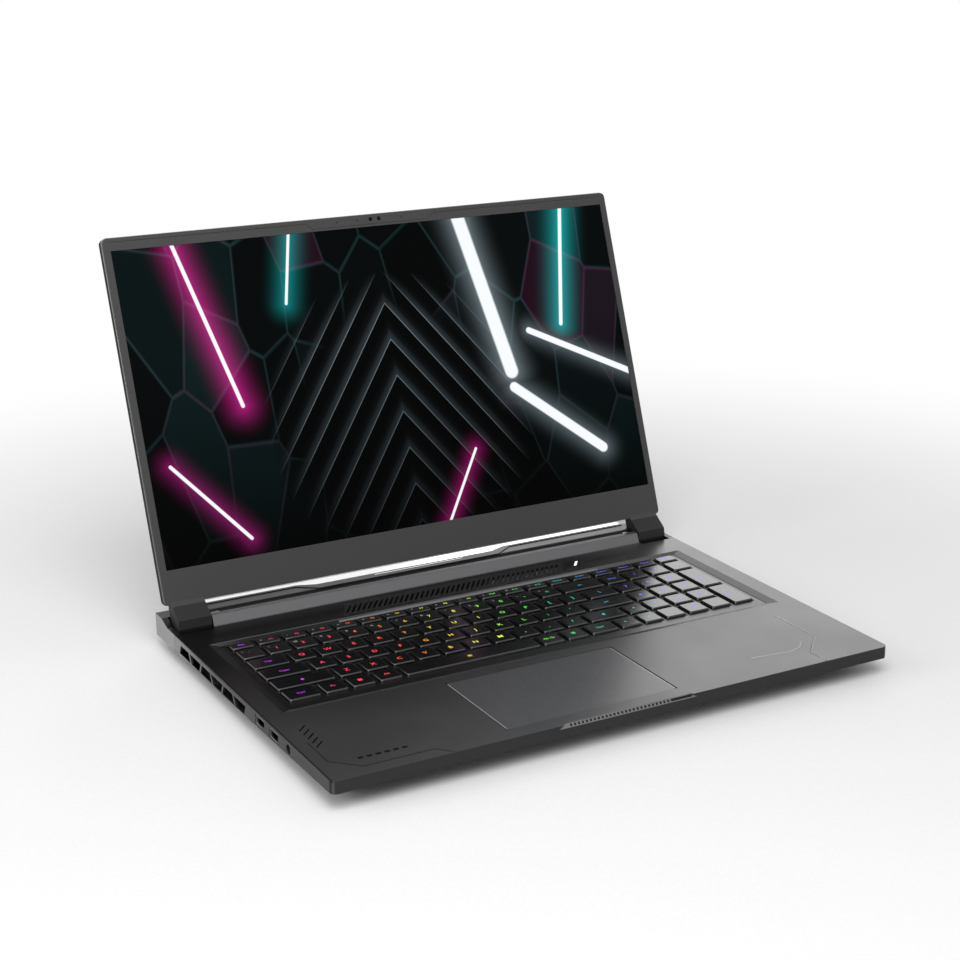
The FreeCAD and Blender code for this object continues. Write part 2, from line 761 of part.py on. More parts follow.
def groove_cutter(prism, points, width, low, high):
    """A shallow groove along straight runs."""
    shape = None
    for (xa, ya), (xb, yb) in zip(points, points[1:]):
        length = math.hypot(xb - xa, yb - ya)
        nx = (yb - ya) / length * width / 2
        ny = (xa - xb) / length * width / 2
        path = [(xa - nx, ya - ny), (xb - nx, yb - ny), (xb + nx, yb + ny), (xa + nx, ya + ny)]
        run = prism(path, low, high)
        shape = shape.fuse(run) if shape else run
    return shape


def palm_grooves():
    cuts = []
    for side, points in ((-1, LEFT_GROOVE), (1, RIGHT_GROOVE), (1, INNER_GROOVE)):
        placed = [(side * (HALF - x), y) for x, y in points]
        cuts.append(groove_cutter(prism_z, placed, GROOVE_WIDTH, DECK - GROOVE_DEPTH, DECK + PAST))
    return cuts


def lip_cutter(path, depth):
    """Cuts outward from the lip's slope, sunk by depth. A path's second number runs 0 to 1 down it."""
    run = math.hypot(LIP_BACK, LIP_DOWN)
    out = Vector(0, -LIP_DOWN / run, LIP_BACK / run)

    def place(x, share):
        return Vector(x, LIP_BACK * (1 - share), DECK - LIP_DOWN * share).sub(out * depth)

    return Part.Face(wire(place, path)).extrude(out * (depth + LIP_DOWN))


def finger_lip():
    """Sloped lip with tapered ends, a row of teeth cut into it and a plain bar beside them."""
    slope = [(LIP_LEFT + LIP_TAPER, 0), (LIP_RIGHT - LIP_TAPER, 0), (LIP_RIGHT, 1), (LIP_LEFT, 1)]
    cuts = [lip_cutter(slope, 0)]
    lefts = [TOOTH_LEFT + i * TOOTH_PITCH for i in range(TOOTH_COUNT)]
    spans = [(x, x + TOOTH_CUT) for x in lefts]
    end = TOOTH_LEFT + TOOTH_COUNT * TOOTH_PITCH
    spans.append((end, end + TOOTH_BAR))
    margin = TOOTH_DEPTH / LIP_DOWN
    for x0, x1 in spans:
        cuts.append(lip_cutter(rectangle(x0, x1, margin, 1 - margin), TOOTH_DEPTH))
    return cuts


def button_outline(grow):
    return slanted(BUTTON_LEFT - grow, BUTTON_LEFT + BUTTON_WIDTH + grow, BUTTON_Y - grow,
                   BUTTON_Y + BUTTON_DEPTH + grow, BUTTON_SLANT)


def light_outlines():
    """Six dashes on the palm rest and the slanted light beside the power button."""
    paths = []
    for i in range(DASHES):
        x = -HALF + DASH_SIDE + i * DASH_PITCH
        paths.append(rectangle(x - DASH_LENGTH / 2, x + DASH_LENGTH / 2,
                               DASH_FRONT - DASH_WIDTH / 2, DASH_FRONT + DASH_WIDTH / 2))
    x = BUTTON_LEFT - LIGHT_GAP
    rear = BUTTON_Y + BUTTON_DEPTH + LIGHT_OVERRUN
    paths.append(slanted(x - LIGHT_WIDTH, x, BUTTON_Y - LIGHT_OVERRUN, rear, LIGHT_SLANT))
    return paths


def vent_outline(grow):
    d = VENT_MARGIN + grow
    return slanted(VENT_LEFT - d, VENT_RIGHT + d, VENT_Y - d, VENT_Y + VENT_DEPTH + d, VENT_SLANT)


def speaker_slots():
    paths = []
    x0 = -HALF + SPEAKER_SLOT_SIDE
    x1 = x0 + SPEAKER_SLOT_RUN
    for i in range(SPEAKER_SLOTS):
        y0 = SPEAKER_SLOT_FRONT + i * SPEAKER_SLOT_PITCH
        y1 = y0 + SPEAKER_SLOT_RUN
        paths.append([(x0, y0), (x1, y1), (x1, y1 + SPEAKER_SLOT_WIDTH), (x0, y0 + SPEAKER_SLOT_WIDTH)])
    return paths


def side_vents():
    """Trapezoid vents that lean left and right in turn, in both side walls."""
    top = DECK - SIDE_VENT_TOP
    low = top - SIDE_VENT_HEIGHT
    cuts = []
    for i in range(SIDE_VENTS):
        lean = SIDE_VENT_SLANT / 2 * (1 if i % 2 else -1)
        y1 = STEP_Y - SIDE_VENT_REAR - i * SIDE_VENT_PITCH
        y0 = y1 - SIDE_VENT_PITCH + SIDE_VENT_BAR
        path = [(y0 - lean, top), (y1 + lean, top), (y1 - lean, low), (y0 + lean, low)]
        for side, x0, x1 in both_sides(HALF - SIDE_WALL - PAST, HALF + PAST):
            cuts.append(prism_x(path, x0, x1))
    return cuts


def side_socket_layout():
    """Sockets in the side walls as (side, middle along Y, width, height, tongue)."""
    front = USB_REAR - USB_PITCH
    wide = (USB_WIDTH, USB_HEIGHT, USB_TONGUE)
    slim = (SLIM_WIDTH, SLIM_HEIGHT, SLIM_TONGUE)
    return [(-1, USB_REAR, *wide), (-1, front, *wide), (1, USB_REAR, *wide), (1, front, *slim)]


def side_socket_holes():
    g = FIT_GAP
    wall = both_sides(HALF - SIDE_WALL - PAST, HALF + PAST)
    cuts = []
    for side, y, width, height, tongue in side_socket_layout():
        x0, x1 = wall[0][1:] if side < 0 else wall[1][1:]
        d = width / 2 + g
        cuts.append(box(x0, x1, y - d, y + d, SOCKET_LOW - g, SOCKET_LOW + height + g))
    start = Vector(-HALF - PAST, JACK_Y, JACK_Z)
    cuts.append(rod(JACK_HOLE, start, Vector(-HALF + SIDE_WALL + PAST, JACK_Y, JACK_Z)))
    return cuts


def top_deck():
    shape = deck_shell().cut(hinge_notches()).fuse(rear_step())
    for trough in notch_troughs():
        shape = shape.fuse(trough)
    shape = shape.cut(hinge_pockets()).cut(well_cutter())
    g = FIT_GAP
    pad = cornered(PAD_LEFT - g, PAD_RIGHT + g, PAD_FRONT - g, PAD_BACK + g, PAD_CORNER)
    holes = [pad, vent_outline(g), button_outline(g)] + light_outlines() + speaker_slots()
    cutters = [prism_z(path, DECK_UNDER - PAST, DECK + PAST) for path in holes]
    cutters += side_vents() + side_socket_holes() + palm_grooves()
    shape = shape.cut(Part.makeCompound(cutters))
    for cutter in finger_lip():
        shape = shape.cut(cutter)
    save("top_deck", shape.removeSplitter())


# Bottom cover

def cover_ring(inset, front, side, rear, height):
    """Eight corner points of the bottom cover at one level."""
    x = HALF - inset - side
    outline = cornered(-x, x, inset + front, BASE_DEPTH - inset - rear, CORNER)
    corners = [Vector(px, py, height(py)) for px, py in outline]
    return Part.makePolygon(corners + corners[:1])


def standoff(x, y, top):
    """Six-sided boss rising from the cover's floor."""
    return prism_z(regular(x, y, STANDOFF / 2, STANDOFF_SIDES), FLOOR - COVER_WALL / 2, top)


def board_seats():
    front = WELL_FRONT + SEAT_FRONT
    edge = BOARD_HALF - SEAT_EDGE
    seats = [(edge, front), (edge, STEP_Y - SEAT_REAR), (SEAT_WING, front)]
    return [(side * x, y) for side in (-1, 1) for x, y in seats]


def bottom_cover():
    """Tapered tray under the deck, with air intakes, standoffs and hinge seats."""
    under = (UNDER_FRONT, UNDER_SIDE, UNDER_REAR)
    shells = []
    for inset, floor in ((0, BASE_BOTTOM), (COVER_WALL, FLOOR)):
        rim = cover_ring(inset, 0, 0, 0, split_height)
        base = cover_ring(inset, *under, lambda y: floor)
        shells.append(Part.makeLoft([rim, base], True, True))
    shape = shells[0].cut(shells[1])
    slots = []
    for side, x0, x1 in both_sides(FAN_CENTRE - INTAKE_LENGTH / 2, FAN_CENTRE + INTAKE_LENGTH / 2):
        for i in range(INTAKE_SLOTS):
            y = FAN_Y + (i - (INTAKE_SLOTS - 1) / 2) * INTAKE_PITCH - INTAKE_SLOT / 2
            slots.append(box(x0, x1, y, y + INTAKE_SLOT, BASE_BOTTOM - PAST, FLOOR + PAST))
    shape = shape.cut(Part.makeCompound(slots))
    for x, y in board_seats():
        shape = shape.fuse(standoff(x, y, BOARD_BOTTOM))
    for side in (-1, 1):
        for y in HINGE_SEATS:
            shape = shape.fuse(standoff(side * HINGE_SEAT_X, y, HINGE_FOOT))
    save("bottom_cover", shape)


def rubber_feet():
    x = HALF - UNDER_SIDE - FRONT_FOOT_SIDE
    front = UNDER_FRONT + FRONT_FOOT_SETBACK
    rear = BASE_DEPTH - UNDER_REAR - REAR_FOOT_SETBACK - FOOT_WIDTH
    spans = [(x0, x1, front) for side, x0, x1 in both_sides(x - FRONT_FOOT_LENGTH, x)]
    spans.append((-REAR_FOOT_LENGTH / 2, REAR_FOOT_LENGTH / 2, rear))
    pads = [prism_z(cornered(x0, x1, y, y + FOOT_WIDTH, FOOT_CORNER), 0, BASE_BOTTOM) for x0, x1, y in spans]
    save("rubber_feet", Part.makeCompound(pads))


# Rear bar

def bar_profile(inset):
    """Section of the rear bar: groove wall, rounded front, crown and rear face."""
    front, rear = BAR_FRONT + inset, BASE_DEPTH - inset
    top = DECK + BAR_RISE - CREST_RISE - inset
    middle = (front + BAR_ROUND * ROUND, top - (top - DECK) * ROUND)
    return [(front, BAR_LOW), (front, DECK), (*middle, front + BAR_ROUND, top),
            (rear - BAR_EDGE, top), (rear, top - BAR_EDGE), (rear, BAR_LOW)]


def bar_blocks(inset):
    """Corner blocks behind the hinge hoods."""
    front, rear = NOTCH_REAR + inset, BASE_DEPTH - inset
    top = DECK + BAR_BLOCK_RISE - inset
    spans = both_sides(NOTCH_INNER - SEAM - BAR_BLOCK_LAP, HALF - inset)
    return [box(x0, x1, front, rear, BAR_LOW, top) for side, x0, x1 in spans]


def cheeks():
    """Walls beside the hinge hoods that carry on the deck's side walls."""
    start, end = SIDE_SEAM + SEAM, NOTCH_REAR
    slope = [(start, BAR_LOW), (start, DECK), (AXIS_Y, DECK), (end, DECK + BAR_BLOCK_RISE),
             (end + PAST, BAR_LOW)]
    return [prism_x(slope, x0, x1) for side, x0, x1 in both_sides(NOTCH_OUTER, HALF)]


def crest(end):
    """Raised plateau along the bar, wider in the middle, with a thin slot."""
    rear, front, wide = BASE_DEPTH - BAR_EDGE, BASE_DEPTH - CREST, BASE_DEPTH - CREST_WIDE
    path = [(CREST_LEFT, wide), (CREST_RIGHT - CREST_SLANT, wide), (CREST_RIGHT, front), (end, front),
            (end, rear), (-end, rear), (-end, front), (CREST_LEFT - CREST_SLANT, front)]
    top = DECK + BAR_RISE
    y = BASE_DEPTH - CREST_SLOT_REAR
    slot = box(CREST_SLOT_LEFT, CREST_SLOT_RIGHT, y - CREST_SLOT_WIDTH, y,
               top - CREST_SLOT_DEPTH, top + PAST)
    return prism_z(path, top - CREST_RISE - CREST_ROOT, top).cut(slot)


def exhaust_slots():
    half = (EXHAUST_PITCH - EXHAUST_SLAT) / 2
    high = DECK + EXHAUST_RISE
    front, rear = BASE_DEPTH - BAR_WALL - PAST, BASE_DEPTH + PAST
    slots = []
    for i in range(int(EXHAUST_WIDTH / EXHAUST_PITCH)):
        x = NOTCH_INNER - EXHAUST_SIDE - i * EXHAUST_PITCH
        for side, x0, x1 in both_sides(x - half, x + half):
            slots.append(box(x0, x1, front, rear, high - EXHAUST_HEIGHT, high))
    return slots


def rear_socket_layout():
    """Middle and width of the power inlet and the video socket."""
    return ((-REAR_SOCKET_GAP / 2, INLET_WIDTH), (REAR_SOCKET_GAP / 2, VIDEO_WIDTH))


def rear_socket_holes():
    g = FIT_GAP
    front, rear = BASE_DEPTH - BAR_WALL - PAST, BASE_DEPTH + PAST
    holes = []
    for x, width in rear_socket_layout():
        d = width / 2 + g
        holes.append(box(x - d, x + d, front, rear, BOARD_TOP - g, BOARD_TOP + REAR_SOCKET_HEIGHT + g))
    return holes


def rear_bar():
    end = NOTCH_INNER - SEAM
    outer = prism_x(bar_profile(0), -end, end)
    for piece in bar_blocks(0) + cheeks() + [crest(end)]:
        outer = outer.fuse(piece)
    inner = prism_x(bar_profile(BAR_WALL), -end + BAR_WALL, end - BAR_WALL)
    for block in bar_blocks(BAR_WALL):
        inner = inner.fuse(block)
    duct = box(-end + DUCT_SIDE, end - DUCT_SIDE, BAR_FRONT - PAST, BAR_FRONT + BAR_WALL + PAST,
               BASE_BOTTOM, DECK_UNDER)
    shape = outer.cut(inner).common(above_split(DECK + BAR_RISE + PAST)).cut(hinge_pockets()).cut(duct)
    sweeps = []
    for side, x0, x1 in both_sides(end, NOTCH_OUTER):
        sweeps.append(rod(SWEEP, Vector(x0, AXIS_Y, AXIS_Z), Vector(x1, AXIS_Y, AXIS_Z)))
    shape = shape.cut(Part.makeCompound(sweeps + exhaust_slots() + rear_socket_holes()))
    save("rear_bar", shape.removeSplitter())


# Controls on the deck

def touchpad():
    """Glass plate on a tray, with a pivot rail at its back and a switch under its front."""
    plan = cornered(PAD_LEFT, PAD_RIGHT, PAD_FRONT, PAD_BACK, PAD_CORNER)
    save("touchpad", prism_z(plan, PAD_BOTTOM, PAD_TOP))
    low = PAD_BOTTOM - SEAT_GAP - PAD_TRAY
    skin = low + PAD_TRAY_SKIN
    root = low + PAD_TRAY_SKIN / 2
    d = PAD_ROOM + PAD_RIM
    tray = box(PAD_LEFT - d, PAD_RIGHT + d, PAD_FRONT - d, PAD_BACK + d, low, DECK_UNDER)
    d = PAD_ROOM
    tray = tray.cut(box(PAD_LEFT - d, PAD_RIGHT + d, PAD_FRONT - d, PAD_BACK + d, skin, DECK_UNDER))
    d = PAD_PIVOT_SIDE
    rail = box(PAD_LEFT + d, PAD_RIGHT - d, PAD_BACK - PAD_PIVOT, PAD_BACK, root, PAD_BOTTOM - SEAT_GAP)
    y = PAD_FRONT + PAD_SWITCH_FRONT
    switch = box(PAD_SHIFT - PAD_SWITCH_HALF, PAD_SHIFT + PAD_SWITCH_HALF, y, y + PAD_SWITCH_DEPTH,
                 root, skin + PAD_SWITCH)
    save("touchpad_bracket", tray.fuse(rail).fuse(switch))


def power_button():
    """Slanted button with a flange under the deck, over a switch in a small holder."""
    flange_top = DECK_UNDER - SEAT_GAP
    flange_low = flange_top - BUTTON_FLANGE_THICK
    button = prism_z(button_outline(0), flange_low, DECK - BUTTON_DROP)
    flange = prism_z(button_outline(BUTTON_FLANGE), flange_low, flange_top)
    save("power_button", button.fuse(flange).removeSplitter())
    board = flange_low - BUTTON_TRAVEL - SEAT_GAP - SWITCH_RISE
    room = BUTTON_FLANGE + SWITCH_ROOM
    holder = prism_z(button_outline(room + SWITCH_WALL), board - SWITCH_SHEET, DECK_UNDER)
    holder = holder.cut(prism_z(button_outline(room), board, DECK_UNDER))
    x = BUTTON_LEFT + (BUTTON_WIDTH + BUTTON_SLANT) / 2
    y = BUTTON_Y + BUTTON_DEPTH / 2
    d = SWITCH_HALF
    switch = box(x - d, x + d, y - d, y + d, board - SWITCH_SHEET / 2, board + SWITCH_RISE)
    save("power_switch", holder.fuse(switch))


def deck_grille():
    """Slanted slots in a panel that stands in the deck, with a lip under it."""
    slots = []
    for i in range(int((VENT_RIGHT - VENT_LEFT) / VENT_PITCH)):
        x = VENT_LEFT + i * VENT_PITCH
        slots.append(slanted(x, x + VENT_SLOT, VENT_Y, VENT_Y + VENT_DEPTH, VENT_SLANT))
    panel = sheet(vent_outline(0), slots, DECK_UNDER, DECK - VENT_DROP)
    lip = sheet(vent_outline(VENT_LAP), slots, DECK_UNDER - VENT_SHEET, DECK_UNDER)
    save("deck_grille", panel.fuse(lip).removeSplitter())


def status_lights():
    pipes = [prism_z(path, DECK_UNDER, DECK) for path in light_outlines()]
    save("status_lights", Part.makeCompound(pipes))


# Sockets

def socket(width, height, depth, tongue):
    """Folded shell round a tongue, made with its mouth on Y = 0 and open to the front."""
    x, w = width / 2, SOCKET_WALL
    back = depth - SOCKET_BACK
    shell = box(-x, x, 0, depth, 0, height).cut(box(-x + w, x - w, -PAST, back, w, height - w))
    middle = height / 2
    blade = box(-x + TONGUE_SIDE, x - TONGUE_SIDE, TONGUE_SETBACK, back + TONGUE_ROOT,
                middle - tongue / 2, middle + tongue / 2)
    return shell.fuse(blade)


def turned(shape, angle, x, y, z):
    placed = shape.copy()
    placed.rotate(Vector(0, 0, 0), Vector(0, 0, 1), angle)
    placed.translate(Vector(x, y, z))
    return placed


def port_board(side, front, rear):
    """Small board under the side sockets, hung from the deck by two posts."""
    edge = HALF - SIDE_WALL - PORT_BOARD_SIDE
    inner = edge - PORT_BOARD_WIDTH
    low = SOCKET_LOW - PORT_BOARD
    board = box(inner, edge, front, rear, low, SOCKET_LOW)
    for y in (front, rear - PORT_POST):
        board = board.fuse(box(inner, inner + PORT_POST, y, y + PORT_POST, low, DECK_UNDER))
    return board if side > 0 else mirrored(board)


def audio_jack():
    """Square body behind the wall, with the plug's bore."""
    mouth = -HALF + SIDE_WALL + FIT_GAP
    end = mouth + JACK_DEPTH
    r = JACK_BODY / 2
    body = box(mouth, end, JACK_Y - r, JACK_Y + r, SOCKET_LOW, SOCKET_LOW + JACK_BODY)
    bore = rod(JACK_RADIUS, Vector(mouth - PAST, JACK_Y, JACK_Z), Vector(end - SOCKET_BACK, JACK_Y, JACK_Z))
    save("audio_jack", body.cut(bore))


def sockets():
    rows = {-1: [], 1: []}
    for side, y, width, height, tongue in side_socket_layout():
        shape = socket(width, height, USB_DEPTH, tongue)
        rows[side].append(turned(shape, 90 * side, side * (HALF - SOCKET_INSET), y, SOCKET_LOW))
    save("left_usb_sockets", Part.makeCompound(rows[-1]))
    save("right_usb_sockets", Part.makeCompound(rows[1]))
    audio_jack()
    rear = USB_REAR + USB_WIDTH
    save("left_port_board", port_board(-1, JACK_Y - JACK_BODY - PORT_BOARD_END, rear))
    save("right_port_board", port_board(1, USB_REAR - USB_PITCH - USB_WIDTH, rear))
    back = []
    for x, width in rear_socket_layout():
        shape = socket(width, REAR_SOCKET_HEIGHT, REAR_SOCKET_DEPTH, REAR_TONGUE)
        back.append(turned(shape, 180, x, BASE_DEPTH - SOCKET_INSET, BOARD_TOP))
    save("rear_sockets", Part.makeCompound(back))


# Inside the base

def motherboard():
    """Board with two wings in front of the fans and a tail that carries the rear sockets."""
    front, rear = WELL_FRONT + BOARD_FRONT, BASE_DEPTH - BAR_WALL - BOARD_REAR
    arm = FAN_Y - FAN_SIZE / 2 - BOARD_FAN_GAP
    wing = FAN_CENTRE + FAN_SIZE / 2 + BOARD_FAN_GAP
    tail = REAR_SOCKET_GAP + VIDEO_WIDTH
    step = STEP_Y - BOARD_STEP
    right = [(wing, front), (wing, arm), (BOARD_HALF, arm), (BOARD_HALF, step), (tail, step), (tail, rear)]
    left = [(-x, y) for x, y in reversed(right)]
    save("motherboard", prism_z(right + left, BOARD_BOTTOM, BOARD_TOP))


def chip_layout():
    y = FAN_Y - CHIP_AHEAD
    return ((-1, PROCESSOR_X, y, PROCESSOR_SIZE), (1, GRAPHICS_X, y, GRAPHICS_SIZE))


def heat_pipe(side, x, y, size):
    """Flat pipe from a chip back to the fins and along them."""
    w, turn, k = PIPE_WIDTH, PIPE_TURN, ROUND
    end = side * (FAN_CENTRE + FAN_SIZE / 2 - PIPE_END)
    low = FIN_FRONT + FIN_DEPTH / 2 - w / 2
    inner, outer = x + side * w / 2, x - side * w / 2
    reach = turn + w
    path = [(outer, y - size / 2), (inner, y - size / 2), (inner, low - turn),
            (inner + side * turn * k, low - turn * k, inner + side * turn, low), (end, low),
            (end, low + w), (inner + side * turn, low + w),
            (outer + side * reach * k, low + w - reach * k, outer, low - turn)]
    return prism_z(path, PIPE_BOTTOM, PIPE_BOTTOM + PIPE)


def fin_stack(centre):
    """Comb of thin fins hanging from one plate, behind a fan's outlet."""
    count = int((FAN_SIZE - 2 * FIN_SIDE) / FIN_PITCH)
    left = centre - count * FIN_PITCH / 2
    plate = PIPE_BOTTOM - FIN
    path = [(left, PIPE_BOTTOM), (left + count * FIN_PITCH + FIN, PIPE_BOTTOM)]
    for i in range(count, -1, -1):
        x = left + i * FIN_PITCH
        path += [(x + FIN, FLOOR), (x, FLOOR)]
        if i:
            path += [(x, plate), (x - FIN_PITCH + FIN, plate)]
    return prism_y(path, FIN_FRONT, FIN_FRONT + FIN_DEPTH)


def cooling():
    chips = []
    for side, x, y, size in chip_layout():
        d = size / 2
        chips.append(box(x - d, x + d, y - d, y + d, BOARD_TOP, PIPE_BOTTOM))
    save("processor_chips", Part.makeCompound(chips))
    save("heat_pipes", Part.makeCompound([heat_pipe(*chip) for chip in chip_layout()]))
    save("fin_stacks", Part.makeCompound([fin_stack(side * FAN_CENTRE) for side in (-1, 1)]))


def fan_housing(side):
    """Blower case with a round chamber, an outlet to the back and an intake crossed by three arms."""
    x, y = side * FAN_CENTRE, FAN_Y
    d = FAN_SIZE / 2
    z0, z1 = FLOOR + FAN_SKIN, FAN_TOP - FAN_SKIN
    case = prism_z(cornered(x - d, x + d, y - d, y + d, FAN_CORNER), FLOOR, FAN_TOP)
    chamber = prism_z(regular(x, y, FAN_CAVITY, FAN_SIDES), z0, z1)
    w = d - FAN_OUTLET_WALL
    case = case.cut(chamber.fuse(box(x - w, x + w, y, y + d + PAST, z0, z1)))
    case = case.cut(prism_z(regular(x, y, FAN_INLET, FAN_SIDES), FLOOR - PAST, z0 + PAST))
    boss = prism_z(regular(x, y, FAN_BOSS, SMALL_SIDES), FLOOR, z0)
    for i in range(FAN_ARMS):
        arm = box(x - FAN_ARM_WIDTH / 2, x + FAN_ARM_WIDTH / 2, y, y + FAN_INLET + PAST, FLOOR, z0)
        arm.rotate(Vector(x, y, 0), Vector(0, 0, 1), 360.0 / FAN_ARMS * i)
        boss = boss.fuse(arm)
    pin = rod(FAN_PIN, Vector(x, y, FLOOR), Vector(x, y, ROTOR_HIGH))
    return case.fuse(boss).fuse(pin)


def fan_rotor(side):
    """Star of swept blades round a hub that is bored for the fixed pin."""
    x, y = side * FAN_CENTRE, FAN_Y
    path = []
    for i in range(FAN_BLADES):
        angle = 2 * math.pi * i / FAN_BLADES
        lean = angle + side * math.radians(FAN_SWEEP)
        rx, ry = x + FAN_HUB * math.cos(angle), y + FAN_HUB * math.sin(angle)
        tx, ty = rx + FAN_BLADE * math.cos(lean), ry + FAN_BLADE * math.sin(lean)
        nx, ny = -math.sin(lean) * FAN_BLADE_THICK / 2, math.cos(lean) * FAN_BLADE_THICK / 2
        path += [(rx - nx, ry - ny), (tx - nx, ty - ny), (tx + nx, ty + ny), (rx + nx, ry + ny)]
    return sheet(path, [circle(x, y, FAN_PIN + RUNNING_GAP)], ROTOR_LOW, ROTOR_HIGH)


def fans():
    save("fan_housings", Part.makeCompound([fan_housing(side) for side in (-1, 1)]))
    save("left_fan_rotor", fan_rotor(-1))
    save("right_fan_rotor", fan_rotor(1))


def speakers():
    x0, y0, y1 = BATTERY_HALF + SPEAKER_GAP, UNDER_FRONT + SPEAKER_FRONT, WELL_FRONT - SPEAKER_REAR
    x1, top, d = x0 + SPEAKER_WIDTH, FLOOR + SPEAKER_HEIGHT, CONE_INSET
    cone = prism_z(cornered(x0 + d, x1 - d, y0 + d, y1 - d, CONE_CORNER), top, top + CONE_RISE)
    body = box(x0, x1, y0, y1, FLOOR, top).fuse(cone)
    save("left_speaker", mirrored(body))
    save("right_speaker", body)


def battery():
    """Flat pack with seams between its cells."""
    x, y0, y1 = BATTERY_HALF, UNDER_FRONT + BATTERY_END, WELL_FRONT - BATTERY_END
    top = FLOOR + BATTERY_HEIGHT
    seams = []
    for i in range(1, CELLS):
        seam = -x + 2 * x * i / CELLS
        seams.append(box(seam - CELL_SEAM / 2, seam + CELL_SEAM / 2, y0 - PAST, y1 + PAST,
                         top - CELL_SEAM_DEPTH, top + PAST))
    save("battery", box(-x, x, y0, y1, FLOOR, top).cut(Part.makeCompound(seams)))


def modules():
    """Memory, storage and wireless modules under the main board."""
    low, high = BOARD_BOTTOM - MODULE, BOARD_BOTTOM
    y = WELL_FRONT + MODULE_FRONT
    memory = []
    for front in (y, y + MEMORY_PITCH):
        memory.append(box(MEMORY_LEFT, MEMORY_LEFT + MEMORY_LENGTH, front, front + MEMORY_DEPTH, low, high))
    save("memory_modules", Part.makeCompound(memory))
    front = WELL_FRONT + STORAGE_FRONT
    storage = []
    for side, x0, x1 in both_sides(STORAGE_X, STORAGE_X + STORAGE_LENGTH):
        storage.append(box(x0, x1, front, front + STORAGE_DEPTH, low, high))
    save("storage_modules", Part.makeCompound(storage))
    x = WIRELESS_LEFT
    save("wireless_card", box(x, x + WIRELESS_LENGTH, y, y + WIRELESS_DEPTH, high - WIRELESS, high))


# Hinges

def hinge_bracket():
    """Foot plate screwed into the base, a leg up to the axis and the pin that the lid turns on."""
    margin = HINGE_FOOT_MARGIN
    foot = box(HINGE_SEAT_X - margin, LEG_OUTER, HINGE_SEATS[0] - margin, HINGE_SEATS[1] + margin,
               HINGE_FOOT, HINGE_FOOT + HINGE_PLATE)
    r = KNUCKLE_RADIUS
    top = AXIS_Z + r - FIT_GAP
    leg = prism_x([(AXIS_Y - r, HINGE_FOOT), (AXIS_Y + r, HINGE_FOOT), (AXIS_Y + r, AXIS_Z),
                   (AXIS_Y + r / 2, top), (AXIS_Y - r / 2, top), (AXIS_Y - r, AXIS_Z)], LEG_INNER, LEG_OUTER)
    pin = rod(PIN_RADIUS, Vector(LEG_OUTER - PIN_ROOT, AXIS_Y, AXIS_Z),
              Vector(HOOD_OUTER - HOOD_WALL - PIN_SHORT, AXIS_Y, AXIS_Z))
    return foot.fuse(leg).fuse(pin).removeSplitter()


def hinge_arm():
    """Knuckle round the pin with an L-shaped leaf that lies behind the chin."""
    x0, x1 = HOOD_INNER + HOOD_WALL + FIT_GAP, HOOD_OUTER - HOOD_WALL - FIT_GAP
    low, high = LID_BOTTOM + LEAF_LOW, SCREEN_BOTTOM - LEAF_HIGH
    front = LID_FLOOR - HINGE_PLATE
    barrel = prism_x(regular(0, 0, KNUCKLE_RADIUS, SMALL_SIDES), x0, x1)
    leaf = box(x0, x1, front, LID_FLOOR, 0, high)
    arm = box(x0 - HINGE_LEAF, x1, front, LID_FLOOR, low, high)
    web = box(x0, x1, 0, LID_FLOOR, -HINGE_PLATE, HINGE_PLATE)
    bore = rod(PIN_RADIUS + RUNNING_GAP, Vector(x0 - PAST, 0, 0), Vector(x1 + PAST, 0, 0))
    return barrel.fuse(leaf).fuse(arm).fuse(web).cut(bore).removeSplitter()


def hinges():
    for name, shape in (("hinge_bracket", hinge_bracket()), ("hinge_arm", place_lid(hinge_arm()))):
        save("left_%s" % name, mirrored(shape))
        save("right_%s" % name, shape)


# Lid, made upright: its face looks to -Y and the hinge axis is the X axis

def lid_plan(outline, inset):
    d = inset
    return outline(-LID_HALF + d, LID_HALF - d, LID_BOTTOM + d, LID_TOP - d, LID_CORNER - d)


def lid_cover():
    """Shallow tray with a stepped rim that leaves a dark groove round the bezel."""
    rim, ledge = LID_WALL, LID_WALL + LID_LEDGE
    room = BEZEL_BACK - PAST
    tray = prism_y(lid_plan(rounded, 0), BEZEL_BACK + LID_GROOVE, LID_BACK)
    tray = tray.cut(prism_y(lid_plan(cornered, rim), room, LID_FLOOR))
    lip = prism_y(lid_plan(cornered, rim), BEZEL_BACK, LID_FLOOR)
    tray = tray.fuse(lip.cut(prism_y(lid_plan(cornered, ledge), room, LID_FLOOR)))
    gaps = []
    for side, x0, x1 in both_sides(HOOD_INNER - HOOD_SIDE_GAP, HOOD_OUTER + HOOD_SIDE_GAP):
        gaps.append(box(x0, x1, room, LID_FLOOR, LID_BOTTOM - PAST, LID_BOTTOM + ledge + PAST))
    save("lid_cover", place_lid(tray.cut(Part.makeCompound(gaps)).removeSplitter()))


def hood_path(wall):
    """Side outline of a hinge hood as (y, z): chin break, nose, rounded underside and back."""
    r = HOOD_RADIUS - wall
    lip = HOOD_NOSE_OUT - HOOD_LIP - wall
    back = LID_FLOOR if wall else LID_BACK
    top = LID_BOTTOM + HOOD_BREAK if wall else LID_BOTTOM
    face = BEZEL_BACK if wall else -LID_FACE
    return [(face, LID_BOTTOM + HOOD_BREAK), (wall - HOOD_NOSE_OUT, HOOD_NOSE_UP - wall / 3),
            (-lip, -math.sqrt(r ** 2 - lip ** 2)), (0, -r, back, -math.sqrt(r ** 2 - back ** 2)),
            (back, top), (face + HOOD_ROOT, top)]


